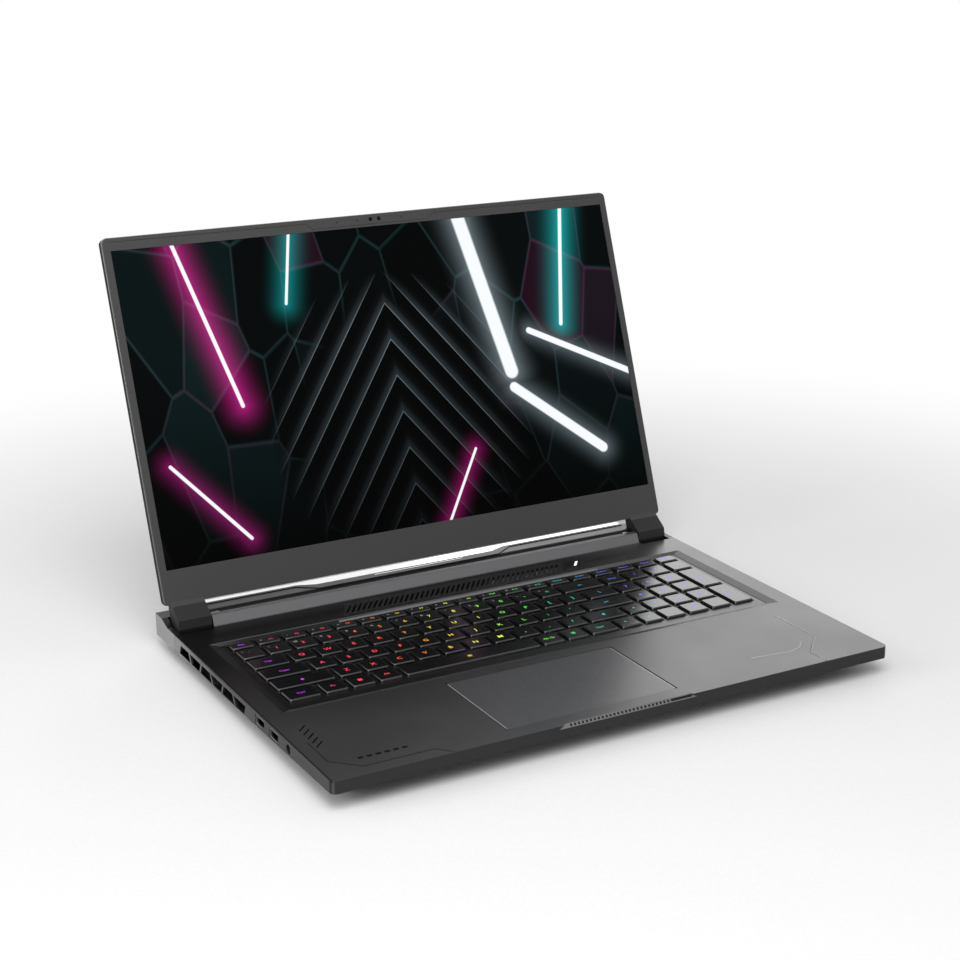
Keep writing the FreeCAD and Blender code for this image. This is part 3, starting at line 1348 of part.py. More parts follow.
def camera_relief():
    """Fine groove that steps down round the cameras."""
    top, low = LID_TOP - RELIEF_TOP, SCREEN_TOP + RELIEF_LOW
    right = [(RELIEF_HALF - RELIEF_SLANT, low), (RELIEF_HALF, top), (LID_HALF - RELIEF_END, top)]
    left = [(-x, z) for x, z in reversed(right)]
    face = -LID_FACE
    return groove_cutter(prism_y, left + right, RELIEF_WIDTH, face - PAST, face + RELIEF_DEPTH)


def screen_bezel():
    """Thin frame round the screen, with the hinge hoods moulded to its lower corners."""
    x = LID_HALF - BEZEL_INSET
    face = -LID_FACE
    outer = rounded(-x, x, LID_BOTTOM, LID_TOP - BEZEL_INSET, LID_CORNER - BEZEL_INSET)
    window = rectangle(-SCREEN_WIDTH / 2, SCREEN_WIDTH / 2, SCREEN_BOTTOM, SCREEN_TOP)
    plate = prism_y(outer, face, BEZEL_BACK).cut(prism_y(window, face - PAST, BEZEL_BACK + PAST))
    hoods = both_sides(HOOD_INNER, HOOD_OUTER)
    rooms = both_sides(HOOD_INNER + HOOD_WALL, HOOD_OUTER - HOOD_WALL)
    slots = both_sides(HOOD_INNER - PAST, HOOD_INNER + HOOD_WALL + PAST)
    d = PIN_RADIUS + FIT_GAP
    for hood, room, slot in zip(hoods, rooms, slots):
        shape = prism_x(hood_path(0), *hood[1:]).cut(prism_x(hood_path(HOOD_WALL), *room[1:]))
        plate = plate.fuse(shape).cut(box(*slot[1:], -d, d, -d, d))
    plate = plate.cut(camera_relief())
    for x in (0, LENS_SPACING):
        lens = regular(x, CAMERA_Z, LENS_RADIUS, SMALL_SIDES)
        plate = plate.cut(prism_y(lens, face - PAST, BEZEL_BACK + PAST))
    save("screen_bezel", place_lid(plate.removeSplitter()))


def display():
    """Screen sheet, backlight with its driver strip, and the camera board."""
    x = SCREEN_WIDTH / 2 + PANEL_LAP
    low, high = SCREEN_BOTTOM - PANEL_LAP, SCREEN_TOP + PANEL_LAP
    front = BEZEL_BACK
    middle = front + LCD_SHEET
    rear = middle + BACKLIGHT
    save("lcd_sheet", place_lid(box(-x, x, front, middle, low, high)))
    strip = box(-x + DRIVER_SIDE, x - DRIVER_SIDE, middle + DRIVER_STEP, rear, low - DRIVER_HEIGHT, low)
    save("backlight_unit", place_lid(box(-x, x, middle, rear, low, high).fuse(strip).removeSplitter()))
    d = CAMERA_HEIGHT / 2
    board = box(-CAMERA_HALF, CAMERA_HALF, front, front + CAMERA_BOARD, CAMERA_Z - d, CAMERA_Z + d)
    for x in (0, LENS_SPACING):
        lens = regular(x, CAMERA_Z, LENS_RADIUS - LENS_GAP, SMALL_SIDES)
        board = board.fuse(prism_y(lens, front - BEZEL_PLATE + LENS_SINK, front + CAMERA_BOARD / 2))
    save("webcam", place_lid(board.removeSplitter()))


os.makedirs("parts", exist_ok=True)
keyboard()
top_deck()
bottom_cover()
rubber_feet()
rear_bar()
touchpad()
power_button()
deck_grille()
status_lights()
sockets()
motherboard()
cooling()
fans()
speakers()
battery()
modules()
hinges()
lid_cover()
screen_bezel()
display()
print("base %.1f deep, lid reaches %.1f, key pitch %.2f" % (BASE_DEPTH, LID_REACH, KEY_PITCH))
print("hinge axis at y %.3f, z %.3f in the moved frame" % (AXIS_Y + Y_SHIFT, AXIS_Z))
print("fan axis at y %.3f, touchpad's rear edge at y %.3f" % (FAN_Y + Y_SHIFT, PAD_BACK + Y_SHIFT))
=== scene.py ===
# %% [markdown]
# # An open 17-inch notebook computer
# The solids of the machine come in as a fixed frame: every node keeps its place. This file adds what
# solids leave out: finishes, lit key legends, a picture on the screen, small screws and thin bars.
# Everything is in metres in the machine's own frame.

# %% Load the frame
import bpy
import bmesh
import json
import math
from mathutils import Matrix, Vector


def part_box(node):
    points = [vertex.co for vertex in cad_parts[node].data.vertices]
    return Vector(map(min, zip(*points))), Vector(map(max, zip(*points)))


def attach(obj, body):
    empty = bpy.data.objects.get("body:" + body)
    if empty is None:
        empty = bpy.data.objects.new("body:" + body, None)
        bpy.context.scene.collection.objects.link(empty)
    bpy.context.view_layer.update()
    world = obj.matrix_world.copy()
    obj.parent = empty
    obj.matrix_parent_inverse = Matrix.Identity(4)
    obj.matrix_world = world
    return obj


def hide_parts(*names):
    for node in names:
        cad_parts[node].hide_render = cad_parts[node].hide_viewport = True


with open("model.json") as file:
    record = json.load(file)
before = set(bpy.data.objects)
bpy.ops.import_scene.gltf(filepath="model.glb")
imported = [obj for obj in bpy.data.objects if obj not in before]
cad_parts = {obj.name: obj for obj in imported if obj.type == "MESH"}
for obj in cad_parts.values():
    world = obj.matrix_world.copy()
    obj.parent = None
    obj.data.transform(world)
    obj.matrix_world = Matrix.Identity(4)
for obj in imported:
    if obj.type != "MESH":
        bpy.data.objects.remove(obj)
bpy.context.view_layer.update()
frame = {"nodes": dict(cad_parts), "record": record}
scene = bpy.context.scene
MM = 0.001

# %% [markdown]
# ## Camera
# The viewpoint was found by fitting a pinhole camera to the corners of the screen, the base and the keys.
# A long lens on a 36 mm sensor looks down at the machine from the front left. The frame is shifted a
# little, because the picture is a crop in which the lens axis is not in the middle.

# %% Camera
LENS_MM, SENSOR_MM = 72.16, 36.0
SHIFT_ACROSS, SHIFT_UP = -0.0579, 0.0148
NEAREST, FARTHEST = 0.05, 50.0
CAMERA_PLACE = Vector((-0.5811, -1.0661, 0.4950))
CAMERA_TURN, CAMERA_RISE = math.radians(-30.08), math.radians(17.82)
back = Vector((math.sin(CAMERA_TURN) * math.cos(CAMERA_RISE),
               -math.cos(CAMERA_TURN) * math.cos(CAMERA_RISE), math.sin(CAMERA_RISE)))
camera = bpy.data.objects.new("camera", bpy.data.cameras.new("camera"))
scene.collection.objects.link(camera)
camera.location = CAMERA_PLACE
camera.rotation_mode = "QUATERNION"
camera.rotation_quaternion = (-back).to_track_quat("-Z", "Y")
camera.data.lens = LENS_MM
camera.data.sensor_width = SENSOR_MM
camera.data.shift_x, camera.data.shift_y = SHIFT_ACROSS, SHIFT_UP
camera.data.clip_start, camera.data.clip_end = NEAREST, FARTHEST
scene.camera = camera
scene.view_settings.view_transform = "Standard"
print("camera at", [round(x, 3) for x in camera.location])

# %% [markdown]
# ## Small tools
# Colours are written as the hex values a picture editor shows, and one function turns them to the linear
# values that light is added up in. One function adds a node to a tree, sets it up and links it.

# %% Colour and node helpers
def rgb(code):
    """Linear colour of an sRGB hex value."""
    parts = [int(code[i:i + 2], 16) / 255 for i in (1, 3, 5)]
    linear = [c / 12.92 if c <= 0.04045 else ((c + 0.055) / 1.055) ** 2.4 for c in parts]
    return (*linear, 1.0)


def plug(tree, node, links):
    """Sets sockets to values, or links them where a socket is given."""
    for socket, value in links.items():
        if isinstance(value, bpy.types.NodeSocket):
            tree.links.new(value, node.inputs[socket])
        else:
            node.inputs[socket].default_value = value
    return node


def add(tree, kind, links=None, stops=(), **settings):
    """A new node with its settings and links and, on a colour ramp, its (position, hex colour) stops."""
    node = tree.nodes.new(kind)
    for key, value in settings.items():
        setattr(node, key, value)
    if stops:
        points = node.color_ramp.elements
        while len(points) < len(stops):
            points.new(0.5)
        for point, (position, code) in zip(points, stops):
            point.position = position
            point.color = rgb(code)
    return plug(tree, node, links or {})


def blank(name, **sockets):
    """A material with one surface shader whose named sockets are set."""
    material = bpy.data.materials.new(name)
    material.use_nodes = True
    tree = material.node_tree
    tree.nodes.clear()
    shader = add(tree, "ShaderNodeBsdfPrincipled", {k.replace("_", " "): v for k, v in sockets.items()})
    add(tree, "ShaderNodeOutputMaterial", {"Surface": shader.outputs[0]})
    return material, tree, shader


print("white is", rgb("#ffffff"))

# %% [markdown]
# ## Studio
# The picture is a cut-out on white, so the floor is a pale matt sheet and the world is white where the
# camera or a shiny surface looks at it. Matt surfaces get less of it, and three large soft lamps give
# the form. The right of the deck mirrors the rear lamp, as a satin coat does at a low angle.

# %% Floor
FLOOR_HALF, FLOOR_DROP = 6.0, 0.3 * MM
FIBRE_MM = 2.5
VEIL_FROM, VEIL_FULL = 0.27, 0.85


def shown(tree):
    """1 for rays that show the background: from the camera, off a shine or through glass."""
    ray = add(tree, "ShaderNodeLightPath").outputs
    mask = ray["Is Camera Ray"]
    for kind in ("Is Glossy Ray", "Is Transmission Ray"):
        mask = add(tree, "ShaderNodeMath", {0: mask, 1: ray[kind]}, operation="MAXIMUM").outputs[0]
    return mask


corners = [(x * FLOOR_HALF, y * FLOOR_HALF, -FLOOR_DROP) for x, y in ((-1, -1), (1, -1), (1, 1), (-1, 1))]
floor_mesh = bpy.data.meshes.new("floor")
floor_mesh.from_pydata(corners, [], [(0, 1, 2, 3)])
floor = bpy.data.objects.new("floor", floor_mesh)
scene.collection.objects.link(floor)
# Uncoated paper: an even white that takes a soft shadow, and fades to plain white away from the machine.
paper, tree, shader = blank("pale_floor_paper", Roughness=0.9)
place = add(tree, "ShaderNodeTexCoord").outputs["Object"]
fibre = add(tree, "ShaderNodeTexNoise", {"Vector": place, "Scale": 1 / (FIBRE_MM * MM)}).outputs["Fac"]
pale = add(tree, "ShaderNodeValToRGB", {0: fibre}, [(0.2, "#f1f1f1"), (0.8, "#f6f6f6")]).outputs[0]
plug(tree, shader, {"Base Color": pale})
away = add(tree, "ShaderNodeVectorMath", {0: place}, operation="LENGTH").outputs["Value"]
far = add(tree, "ShaderNodeMapRange", {"Value": away, "From Min": VEIL_FROM, "From Max": VEIL_FULL},
          interpolation_type="SMOOTHSTEP").outputs[0]
veil = add(tree, "ShaderNodeMath", {0: far, 1: shown(tree)}, operation="MULTIPLY").outputs[0]
white = add(tree, "ShaderNodeEmission", {"Color": rgb("#ffffff"), "Strength": 1.0}).outputs[0]
both = add(tree, "ShaderNodeMixShader", {0: veil, 1: shader.outputs[0], 2: white}).outputs[0]
plug(tree, tree.nodes["Material Output"], {"Surface": both})
floor_mesh.materials.append(paper)
print("floor:", 2 * FLOOR_HALF, "m wide")

# %% World
SOFT_WORLD = 0.38
world = bpy.data.worlds.new("white_studio")
scene.world = world
world.use_nodes = True
tree = world.node_tree
tree.nodes.clear()
soft = add(tree, "ShaderNodeBackground", {"Color": rgb("#ffffff"), "Strength": SOFT_WORLD}).outputs[0]
white = add(tree, "ShaderNodeBackground", {"Color": rgb("#ffffff"), "Strength": 1.0}).outputs[0]
both = add(tree, "ShaderNodeMixShader", {0: shown(tree), 1: soft, 2: white}).outputs[0]
add(tree, "ShaderNodeOutputWorld", {"Surface": both})
print("world:", world.name)

# %% Lamps
def lamp(name, place, target, size, power):
    """A large square soft box that looks at a point."""
    light = bpy.data.lights.new(name, "AREA")
    light.shape = "SQUARE"
    light.size = size
    light.energy = power
    obj = bpy.data.objects.new(name, light)
    scene.collection.objects.link(obj)
    obj.location = place
    obj.rotation_mode = "QUATERNION"
    obj.rotation_quaternion = (Vector(target) - Vector(place)).to_track_quat("-Z", "Y")
    return obj


lamp("top_box", place=(-0.4, -0.8, 1.2), target=(0, 0, 0.05), size=1.1, power=14)
lamp("left_box", place=(-1.6, 0.2, 0.7), target=(0, 0, 0.05), size=0.9, power=9)
lamp("rear_right_box", place=(1.25, 1.5, 0.75), target=(0.15, -0.05, 0.02), size=1.0, power=4.5)

# %% [markdown]
# ## Finishes
# The shell is aluminium, blasted with fine grit and anodised dark grey: a metal with a soft broad shine
# and a faint sparkle of grain. The grit is really about 0.1 mm and is drawn at 0.35 mm, because it would
# vanish at this distance. The bezel, keys and grille are plastic from a mould with a pebbled skin. Edges
# are found by comparing a face's own normal with one rounded over a small radius, and that same rounding
# lets edges catch light.

# %% Edges and grain
NOISE_LOW, NOISE_HIGH = 0.3, 0.7
SAME_FLAT, SAME_EDGE = 0.99, 0.80


def rounded_edge(tree, radius_mm):
    """The normal rounded over edges, and a 0 to 1 mask that is 1 on them."""
    bevel = add(tree, "ShaderNodeBevel", {"Radius": radius_mm * MM}, samples=4).outputs[0]
    flat = add(tree, "ShaderNodeNewGeometry").outputs["Normal"]
    same = add(tree, "ShaderNodeVectorMath", {0: bevel, 1: flat}, operation="DOT_PRODUCT").outputs["Value"]
    mask = add(tree, "ShaderNodeMapRange", {"Value": same, "From Min": SAME_FLAT, "From Max": SAME_EDGE})
    return bevel, mask.outputs[0]


def grained(tree, normal, size_mm, depth_mm, strength):
    """Bump of fine even grain, and the grain's own value."""
    place = add(tree, "ShaderNodeTexCoord").outputs["Object"]
    grain = add(tree, "ShaderNodeTexNoise", {"Vector": place, "Scale": 1 / (size_mm * MM), "Detail": 3.0})
    bump = add(tree, "ShaderNodeBump", {"Strength": strength, "Distance": depth_mm * MM,
                                        "Height": grain.outputs["Fac"], "Normal": normal})
    return bump.outputs[0], grain.outputs["Fac"]


def coloured(tree, grain, mask, dark, light, edge):
    """Two tones that follow the grain, with a third on the edges: where paler, it is wear and a painted
    highlight.
    """
    body = add(tree, "ShaderNodeValToRGB", {0: grain}, [(NOISE_LOW, dark), (NOISE_HIGH, light)]).outputs[0]
    return add(tree, "ShaderNodeMix", {0: mask, 6: body, 7: rgb(edge)}, data_type="RGBA").outputs[2]


print("noise lies mostly between", NOISE_LOW, "and", NOISE_HIGH)

# %% Zones
SHARP_MM = 0.02


def inside(tree, limits):
    """1 where all limits (axis, low, high, soft) hold, fading to 0 over the soft width inside each of them.
    An axis is X, Y or Z in mm, NX, NY or NZ of the normal, or a direction to measure a place along, in mm."""
    place = add(tree, "ShaderNodeTexCoord").outputs["Object"]
    spot = add(tree, "ShaderNodeSeparateXYZ", {0: place})
    normal = add(tree, "ShaderNodeNewGeometry").outputs["True Normal"]
    facing = add(tree, "ShaderNodeSeparateXYZ", {0: normal})
    mask = None
    for axis, low, high, *soft in limits:
        unit = 1.0 if axis[0] == "N" else MM
        if isinstance(axis, tuple):
            value = add(tree, "ShaderNodeVectorMath", {0: place, 1: axis},
                        operation="DOT_PRODUCT").outputs["Value"]
        else:
            value = (facing if axis[0] == "N" else spot).outputs[axis[-1]]
        middle, half = (low + high) / 2 * unit, (high - low) / 2 * unit
        fade = (soft[0] if soft else SHARP_MM) * unit
        off = add(tree, "ShaderNodeMath", {0: value, 1: middle}, operation="SUBTRACT").outputs[0]
        off = add(tree, "ShaderNodeMath", {0: off}, operation="ABSOLUTE").outputs[0]
        near = add(tree, "ShaderNodeMapRange", {"Value": off, "From Min": half, "From Max": half - fade})
        near = near.outputs[0]
        if mask is not None:
            near = add(tree, "ShaderNodeMath", {0: mask, 1: near}, operation="MULTIPLY").outputs[0]
        mask = near
    return mask


def zoned(tree, tone, gloss, zones):
    """Changes colour and roughness inside zones given as (limits, hex colour, roughness)."""
    for limits, code, smooth in zones:
        mask = inside(tree, limits)
        tone = add(tree, "ShaderNodeMix", {0: mask, 6: tone, 7: rgb(code)}, data_type="RGBA").outputs[2]
        gloss = add(tree, "ShaderNodeMix", {0: mask, 2: gloss, 3: smooth}).outputs[0]
    return tone, gloss


print("zone edges are", SHARP_MM, "mm soft unless a zone says otherwise")

# %% Blasted metal and moulded plastic
METAL_SHARE = 0.6
SHELL_EDGE_MM, GRIT_MM, GRIT_DEPTH_MM, GRIT_BUMP = 0.35, 0.35, 0.02, 0.25
SMUDGE_MM, SMUDGE_SHINE = 45.45, 0.03
PEBBLE_DEPTH_MM, PEBBLE_SHINE = 0.03, 0.05


def blasted_metal(name, dark, light, edge, rough, zones=()):
    """Aluminium after grit blasting and dyed anodising, which dulls the metal's shine."""
    material, tree, shader = blank(name, Metallic=METAL_SHARE)
    normal, mask = rounded_edge(tree, SHELL_EDGE_MM)
    normal, grain = grained(tree, normal, GRIT_MM, GRIT_DEPTH_MM, GRIT_BUMP)
    place = add(tree, "ShaderNodeTexCoord").outputs["Object"]
    smudge = add(tree, "ShaderNodeTexNoise", {"Vector": place, "Scale": 1 / (SMUDGE_MM * MM), "Detail": 2.0})
    shine = add(tree, "ShaderNodeMapRange", {"Value": smudge.outputs["Fac"],
                                             "From Min": NOISE_LOW, "From Max": NOISE_HIGH,
                                             "To Min": rough - SMUDGE_SHINE, "To Max": rough + SMUDGE_SHINE})
    tone, gloss = zoned(tree, coloured(tree, grain, mask, dark, light, edge), shine.outputs[0], zones)
    plug(tree, shader, {"Base Color": tone, "Roughness": gloss, "Normal": normal})
    return material


def moulded_plastic(name, dark, light, edge, rough, grain_mm=0.5, edge_mm=0.3, bump=0.3, zones=(), ior=1.5,
                    level=0.5):
    """Plastic from a spark-eroded mould: a fine pebbled skin with a dull shine."""
    material, tree, shader = blank(name, IOR=ior, Specular_IOR_Level=level)
    normal, mask = rounded_edge(tree, edge_mm)
    normal, grain = grained(tree, normal, grain_mm, PEBBLE_DEPTH_MM, bump)
    shine = add(tree, "ShaderNodeMapRange", {"Value": grain, "From Min": NOISE_LOW, "From Max": NOISE_HIGH,
                                             "To Min": rough - PEBBLE_SHINE, "To Max": rough + PEBBLE_SHINE})
    tone, gloss = zoned(tree, coloured(tree, grain, mask, dark, light, edge), shine.outputs[0], zones)
    plug(tree, shader, {"Base Color": tone, "Roughness": gloss, "Normal": normal})
    return material


print("grit is drawn at", GRIT_MM, "mm")

# %% [markdown]
# ## Tones of the shell
# Satin metal takes its tone from what stands round it, and the deck of the real machine runs from nearly
# black at the left hinge to pale grey at the right. Lamps alone would not give that, so zones in the finish
# paint that shade and reflection into the colour. Each zone is a range along some directions, with a colour
# and a roughness, and it stays with the machine. Walls, bright edges and the black gaps beside the touchpad
# are zones too; several of them are painted shade or painted highlight.

# %% Zones of the shell
LIP_OUT = (0.0, -0.774, 0.633)
LIP = [("X", -52.0, 48.0), ("NZ", 0.4, 0.8), ("Y", -179.0, -175.5)]
TOP = ("NZ", 0.9, 1.1)
REAR_SLOPE = ("NY", -0.98, -0.15)
SIDE_WALLS = ([("NX", -1.1, -0.85), ("X", -198.0, -196.0)], [("NX", 0.85, 1.1), ("X", 196.0, 198.0)])
PAD_EDGE, PAD_PAST, PAD_GAP, PAD_UNDER, PAD_ENDS = 0.8, 1.0, 0.9, 0.5, 0.3
pad_low, pad_high = (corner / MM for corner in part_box("touchpad"))
pad_depth = ("Y", pad_low.y - PAD_ENDS, pad_high.y + PAD_ENDS)
DECK_ZONES = [
    # Painted shade: the top darkens towards the left hinge, and a thin line along the left edge is darkest.
    ([("Y", -120.0, 180.0, 130.0), ("X", -280.0, 165.0, 80.0), TOP], "#050506", 0.36),
    ([("X", -197.5, -195.8), ("Z", 18.3, 19.6)], "#050505", 0.5),
    # Painted shade: the slopes round the keys are dark at the left.
    ([("NX", 0.15, 0.98), ("X", -190.0, -150.0)], "#0b0b0c", 0.45),
    ([REAR_SLOPE, ("Y", 38.0, 43.0), ("X", -190.0, -50.0, 30.0)], "#0b0b0c", 0.45),
    # Behind the keys the deck is dark with painted shade, and the raised step pale. The slope up from the
    # keys gets a bright painted highlight.
    ([("Y", 42.0, 71.4), ("X", -260.0, 140.0, 50.0), TOP], "#030303", 0.36),
    ([("Y", 71.4, 110.0)], "#646466", 0.36),
    ([REAR_SLOPE, ("Y", 40.4, 42.4), ("X", -92.0, 112.0)], "#6c6c6e", 0.35),
    # The front face is dark with painted shade; the finger lip is bright with a painted reflection, with
    # dark teeth.
    ([("NY", -1.1, -0.85), ("Y", -179.0, -177.5)], "#2a2a2b", 0.40),
    ([(LIP_OUT, 149.2, 150.0)] + LIP, "#6e6e70", 0.35),
    ([(LIP_OUT, 148.0, 149.2)] + LIP, "#101011", 0.50),
    # The gaps beside the touchpad are black with painted shade.
    ([("X", pad_high.x - PAD_UNDER, pad_high.x + PAD_GAP), pad_depth], "#040404", 0.6),
    ([("X", pad_low.x - PAD_GAP, pad_low.x + PAD_UNDER), pad_depth], "#040404", 0.6),
]
# The side walls run from pale at the back to dark in front.
for wall in SIDE_WALLS:
    DECK_ZONES.append((wall + [("Y", 0.0, 320.0, 90.0)], "#8a8a8c", 0.36))
    DECK_ZONES.append((wall + [("Y", -330.0, 60.0, 140.0)], "#171718", 0.40))
BAR_ZONES = [(wall, "#8c8c8e", 0.36) for wall in SIDE_WALLS]
PAD_ZONES = [([("X", pad_low.x - PAD_PAST, pad_low.x + PAD_EDGE)], "#8c8c8e", 0.3),
             ([("X", pad_high.x - PAD_EDGE, pad_high.x + PAD_PAST)], "#8c8c8e", 0.3)]
print("zones on the deck:", len(DECK_ZONES))

# %% Zones of the lid
# The lid's sides are dark and its front rim is cut bright. The hoods are darker than the bezel, and three
# spots of painted shade in line with the lenses stand for microphone holes.
LID_OUT, LID_UP = (0.0, -0.940, 0.342), (0.0, 0.342, 0.940)
HOOD_TOP = 33.2
MICROPHONES, MICROPHONE_HALF = (-25.9, -10.4, 24.5), 0.55
lens_up = sum(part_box("webcam"), Vector()).dot(LID_UP) / 2 / MM
microphone_up = (LID_UP, lens_up - MICROPHONE_HALF, lens_up + MICROPHONE_HALF)
LID_ZONES = [
    ([("NX", -1.1, -0.7)], "#060606", 0.7),
    ([("NX", 0.7, 1.1)], "#060606", 0.7),
    ([(LID_OUT, -73.0, -72.0)], "#8e8e90", 0.32),
]
BEZEL_ZONES = [([("Z", 0.0, HOOD_TOP)], "#0b0b0b", 0.58)]
for x in MICROPHONES:
    BEZEL_ZONES.append(([("X", x - MICROPHONE_HALF, x + MICROPHONE_HALF), microphone_up], "#010101", 0.9))
print("zones on the bezel:", len(BEZEL_ZONES))

# %% Shell and plastic finishes
finish = {
    # Blasted and dyed aluminium: a broad soft shine, pale where the light lies along it.
    "deck": blasted_metal("blasted_anodised_aluminium_deck", "#464647", "#4e4e4f", "#343435", 0.32,
                          DECK_ZONES),
    "lid_shell": blasted_metal("blasted_anodised_aluminium_lid", "#3c3c3d", "#444445", "#4e4e50", 0.36,
                               LID_ZONES),
    # Paint over the blasting: duller than the deck.
    "bottom_shell": blasted_metal("blasted_painted_aluminium_bottom", "#28282a", "#303032", "#505052", 0.45),
    # ABS with a pebbled skin: an even dark grey with little shine, and nearly black in the grille.
    "bezel": moulded_plastic("textured_bezel_plastic", "#303030", "#383838", "#444444", 0.55,
                             zones=BEZEL_ZONES, level=0.38),
    "grille": moulded_plastic("black_grille_plastic", "#0f0f10", "#151516", "#3c3c3d", 0.45, level=0.35),
    # A smooth coat on black ABS: dark from above, and pale where the rear lamp lies along it.
    "keys": moulded_plastic("coated_black_key_plastic", "#070708", "#0c0c0d", "#232325", 0.22,
                            grain_mm=0.6, edge_mm=0.18, bump=0.12, ior=1.68),
    "key_frame": moulded_plastic("satin_key_frame_plastic", "#060606", "#0a0a0a", "#121212", 0.30),
    # A satin polyester sheet: smooth and grey, with bright cut edges.
    "touchpad": moulded_plastic("satin_touchpad_sheet", "#3c3c3e", "#444446", "#606062", 0.30,
                                grain_mm=0.3, edge_mm=0.2, bump=0.08, zones=PAD_ZONES),
    # Plain moulded plastics: dull and dark, apart from the backlight's white tray.
    "fan": moulded_plastic("black_fan_plastic", "#0a0a0a", "#121212", "#2c2c2c", 0.5),
    "speaker": moulded_plastic("black_speaker_plastic", "#0b0b0b", "#141414", "#2c2c2c", 0.55),
    "backlight": moulded_plastic("white_backlight_plastic", "#b8b8b4", "#c6c6c2", "#d8d8d4", 0.5),
    "audio_socket": moulded_plastic("black_socket_plastic", "#080808", "#101010", "#2a2a2a", 0.45),
    # Rubber: black and without shine under the machine, milky under the keys.
    "foot_rubber": moulded_plastic("black_foot_rubber", "#0c0c0c", "#161616", "#222222", 0.85,
                                   grain_mm=0.8, edge_mm=0.5, bump=0.5),
    "dome_rubber": moulded_plastic("pale_dome_rubber", "#8e8e8c", "#a0a09e", "#b4b4b2", 0.6),
    # Film over the cells: black, with soft wide ripples.
    "battery": moulded_plastic("black_battery_film", "#101011", "#171718", "#2a2a2b", 0.35,
                               grain_mm=3.0, edge_mm=0.6, bump=0.2),
}
print("finishes:", sorted(finish))

# %% [markdown]
# ## Metals and boards inside
# These show only through the vents, in the sockets and with the cover off, but every piece gets the finish
# of the real thing: stamped and ground steel, drawn copper pipes, bare aluminium fins, green coated board.
# Drawing and grinding leave fine lines along one direction, so the grain is stretched that way. The lines
# are really finer than a tenth of a millimetre, and are drawn at 0.4 mm so that they show.

# %% Brushed metals
LINE_MM, LINE_DEPTH_MM, LINE_EDGE_MM, LINE_BUMP, LINE_SHINE = 0.4, 0.01, 0.15, 0.2, 0.08
ALONG_X, ALONG_Y, ALONG_Z, EVEN = (0.1, 1, 1), (1, 0.1, 1), (1, 1, 0.1), (1, 1, 1)


def brushed_metal(name, dark, light, rough, along, zones=()):
    """Metal with fine lines along one direction: grain stretched by a mapping."""
    material, tree, shader = blank(name, Metallic=1.0)
    place = add(tree, "ShaderNodeTexCoord").outputs["Object"]
    stretch = add(tree, "ShaderNodeMapping", {"Vector": place, "Scale": along}).outputs[0]
    lines = add(tree, "ShaderNodeTexNoise", {"Vector": stretch, "Scale": 1 / (LINE_MM * MM), "Detail": 2.0})
    lines = lines.outputs["Fac"]
    normal, mask = rounded_edge(tree, LINE_EDGE_MM)
    bump = add(tree, "ShaderNodeBump", {"Strength": LINE_BUMP, "Distance": LINE_DEPTH_MM * MM,
                                        "Height": lines, "Normal": normal})
    shine = add(tree, "ShaderNodeMapRange", {"Value": lines, "To Min": rough - LINE_SHINE,
                                             "To Max": rough + LINE_SHINE})
    tone, gloss = zoned(tree, coloured(tree, lines, mask, dark, light, light), shine.outputs[0], zones)
    plug(tree, shader, {"Base Color": tone, "Roughness": gloss, "Normal": bump.outputs[0]})
    return material


# Stamped steel: bright at a socket's mouth, with painted shade making it dark in its depth.
SOCKET_DEPTH_SHADE = [([("X", -195.2, 195.2)], "#161618", 0.4)]
finish["socket"] = brushed_metal("stamped_steel_shells", "#c0c0c2", "#d8d8da", 0.3, ALONG_Y, SOCKET_DEPTH_SHADE)
# Ground steel, drawn copper and rolled aluminium: streaks of shine along the piece.
finish["hinge"] = brushed_metal("ground_hinge_steel", "#6c6c6e", "#88888a", 0.35, ALONG_X)
finish["pipe"] = brushed_metal("drawn_copper", "#b06a45", "#c88158", 0.3, ALONG_X)
finish["fins"] = brushed_metal("bare_fin_aluminium", "#a8a8aa", "#c0c0c2", 0.35, ALONG_Z)
finish["tray"] = brushed_metal("rolled_aluminium_tray", "#7c7c7e", "#98989a", 0.4, ALONG_X)
print("metals:", sorted(set(finish) & {"socket", "hinge", "pipe", "fins", "tray"}))

# %% Board, chips and lens
TRACK_MM, TRACK_DEPTH_MM, BOARD_EDGE_MM, SPECK_MM = 8.33, 0.03, 0.1, 1.11
# Glass fibre board under green lacquer: a faint raised pattern of tracks below a smooth skin.
board, tree, shader = blank("green_coated_board", IOR=1.5, Roughness=0.35)
place = add(tree, "ShaderNodeTexCoord").outputs["Object"]
tracks = add(tree, "ShaderNodeTexBrick", {"Vector": place, "Scale": 1 / (TRACK_MM * MM), "Mortar Size": 0.06,
                                          "Color1": rgb("#0d3a22"), "Color2": rgb("#0f4427"),
                                          "Mortar": rgb("#1d5c38")})
normal, _ = rounded_edge(tree, BOARD_EDGE_MM)
bump = add(tree, "ShaderNodeBump", {"Strength": 0.2, "Distance": TRACK_DEPTH_MM * MM,
                                    "Height": tracks.outputs["Fac"], "Normal": normal})
plug(tree, shader, {"Base Color": tracks.outputs["Color"], "Normal": bump.outputs[0]})
finish["board"] = board
# Moulded epoxy: nearly black, with a fine grain.
finish["chip"] = moulded_plastic("dark_chip_resin", "#141416", "#1c1c1f", "#35353a", 0.3, grain_mm=0.4)
# Glass with a coat against reflections: a black eye with hardly any shine.
lens, tree, shader = blank("coated_camera_glass", IOR=1.5, Roughness=0.05, Specular_IOR_Level=0.1)
place = add(tree, "ShaderNodeTexCoord").outputs["Object"]
speck = add(tree, "ShaderNodeTexNoise", {"Vector": place, "Scale": 1 / (SPECK_MM * MM)}).outputs["Fac"]
tint = add(tree, "ShaderNodeValToRGB", {0: speck}, [(NOISE_LOW, "#04040a"), (NOISE_HIGH, "#0a0c16")])
plug(tree, shader, {"Base Color": tint.outputs[0]})
finish["camera"] = lens
print("inner finishes made:", len(finish), "in all")

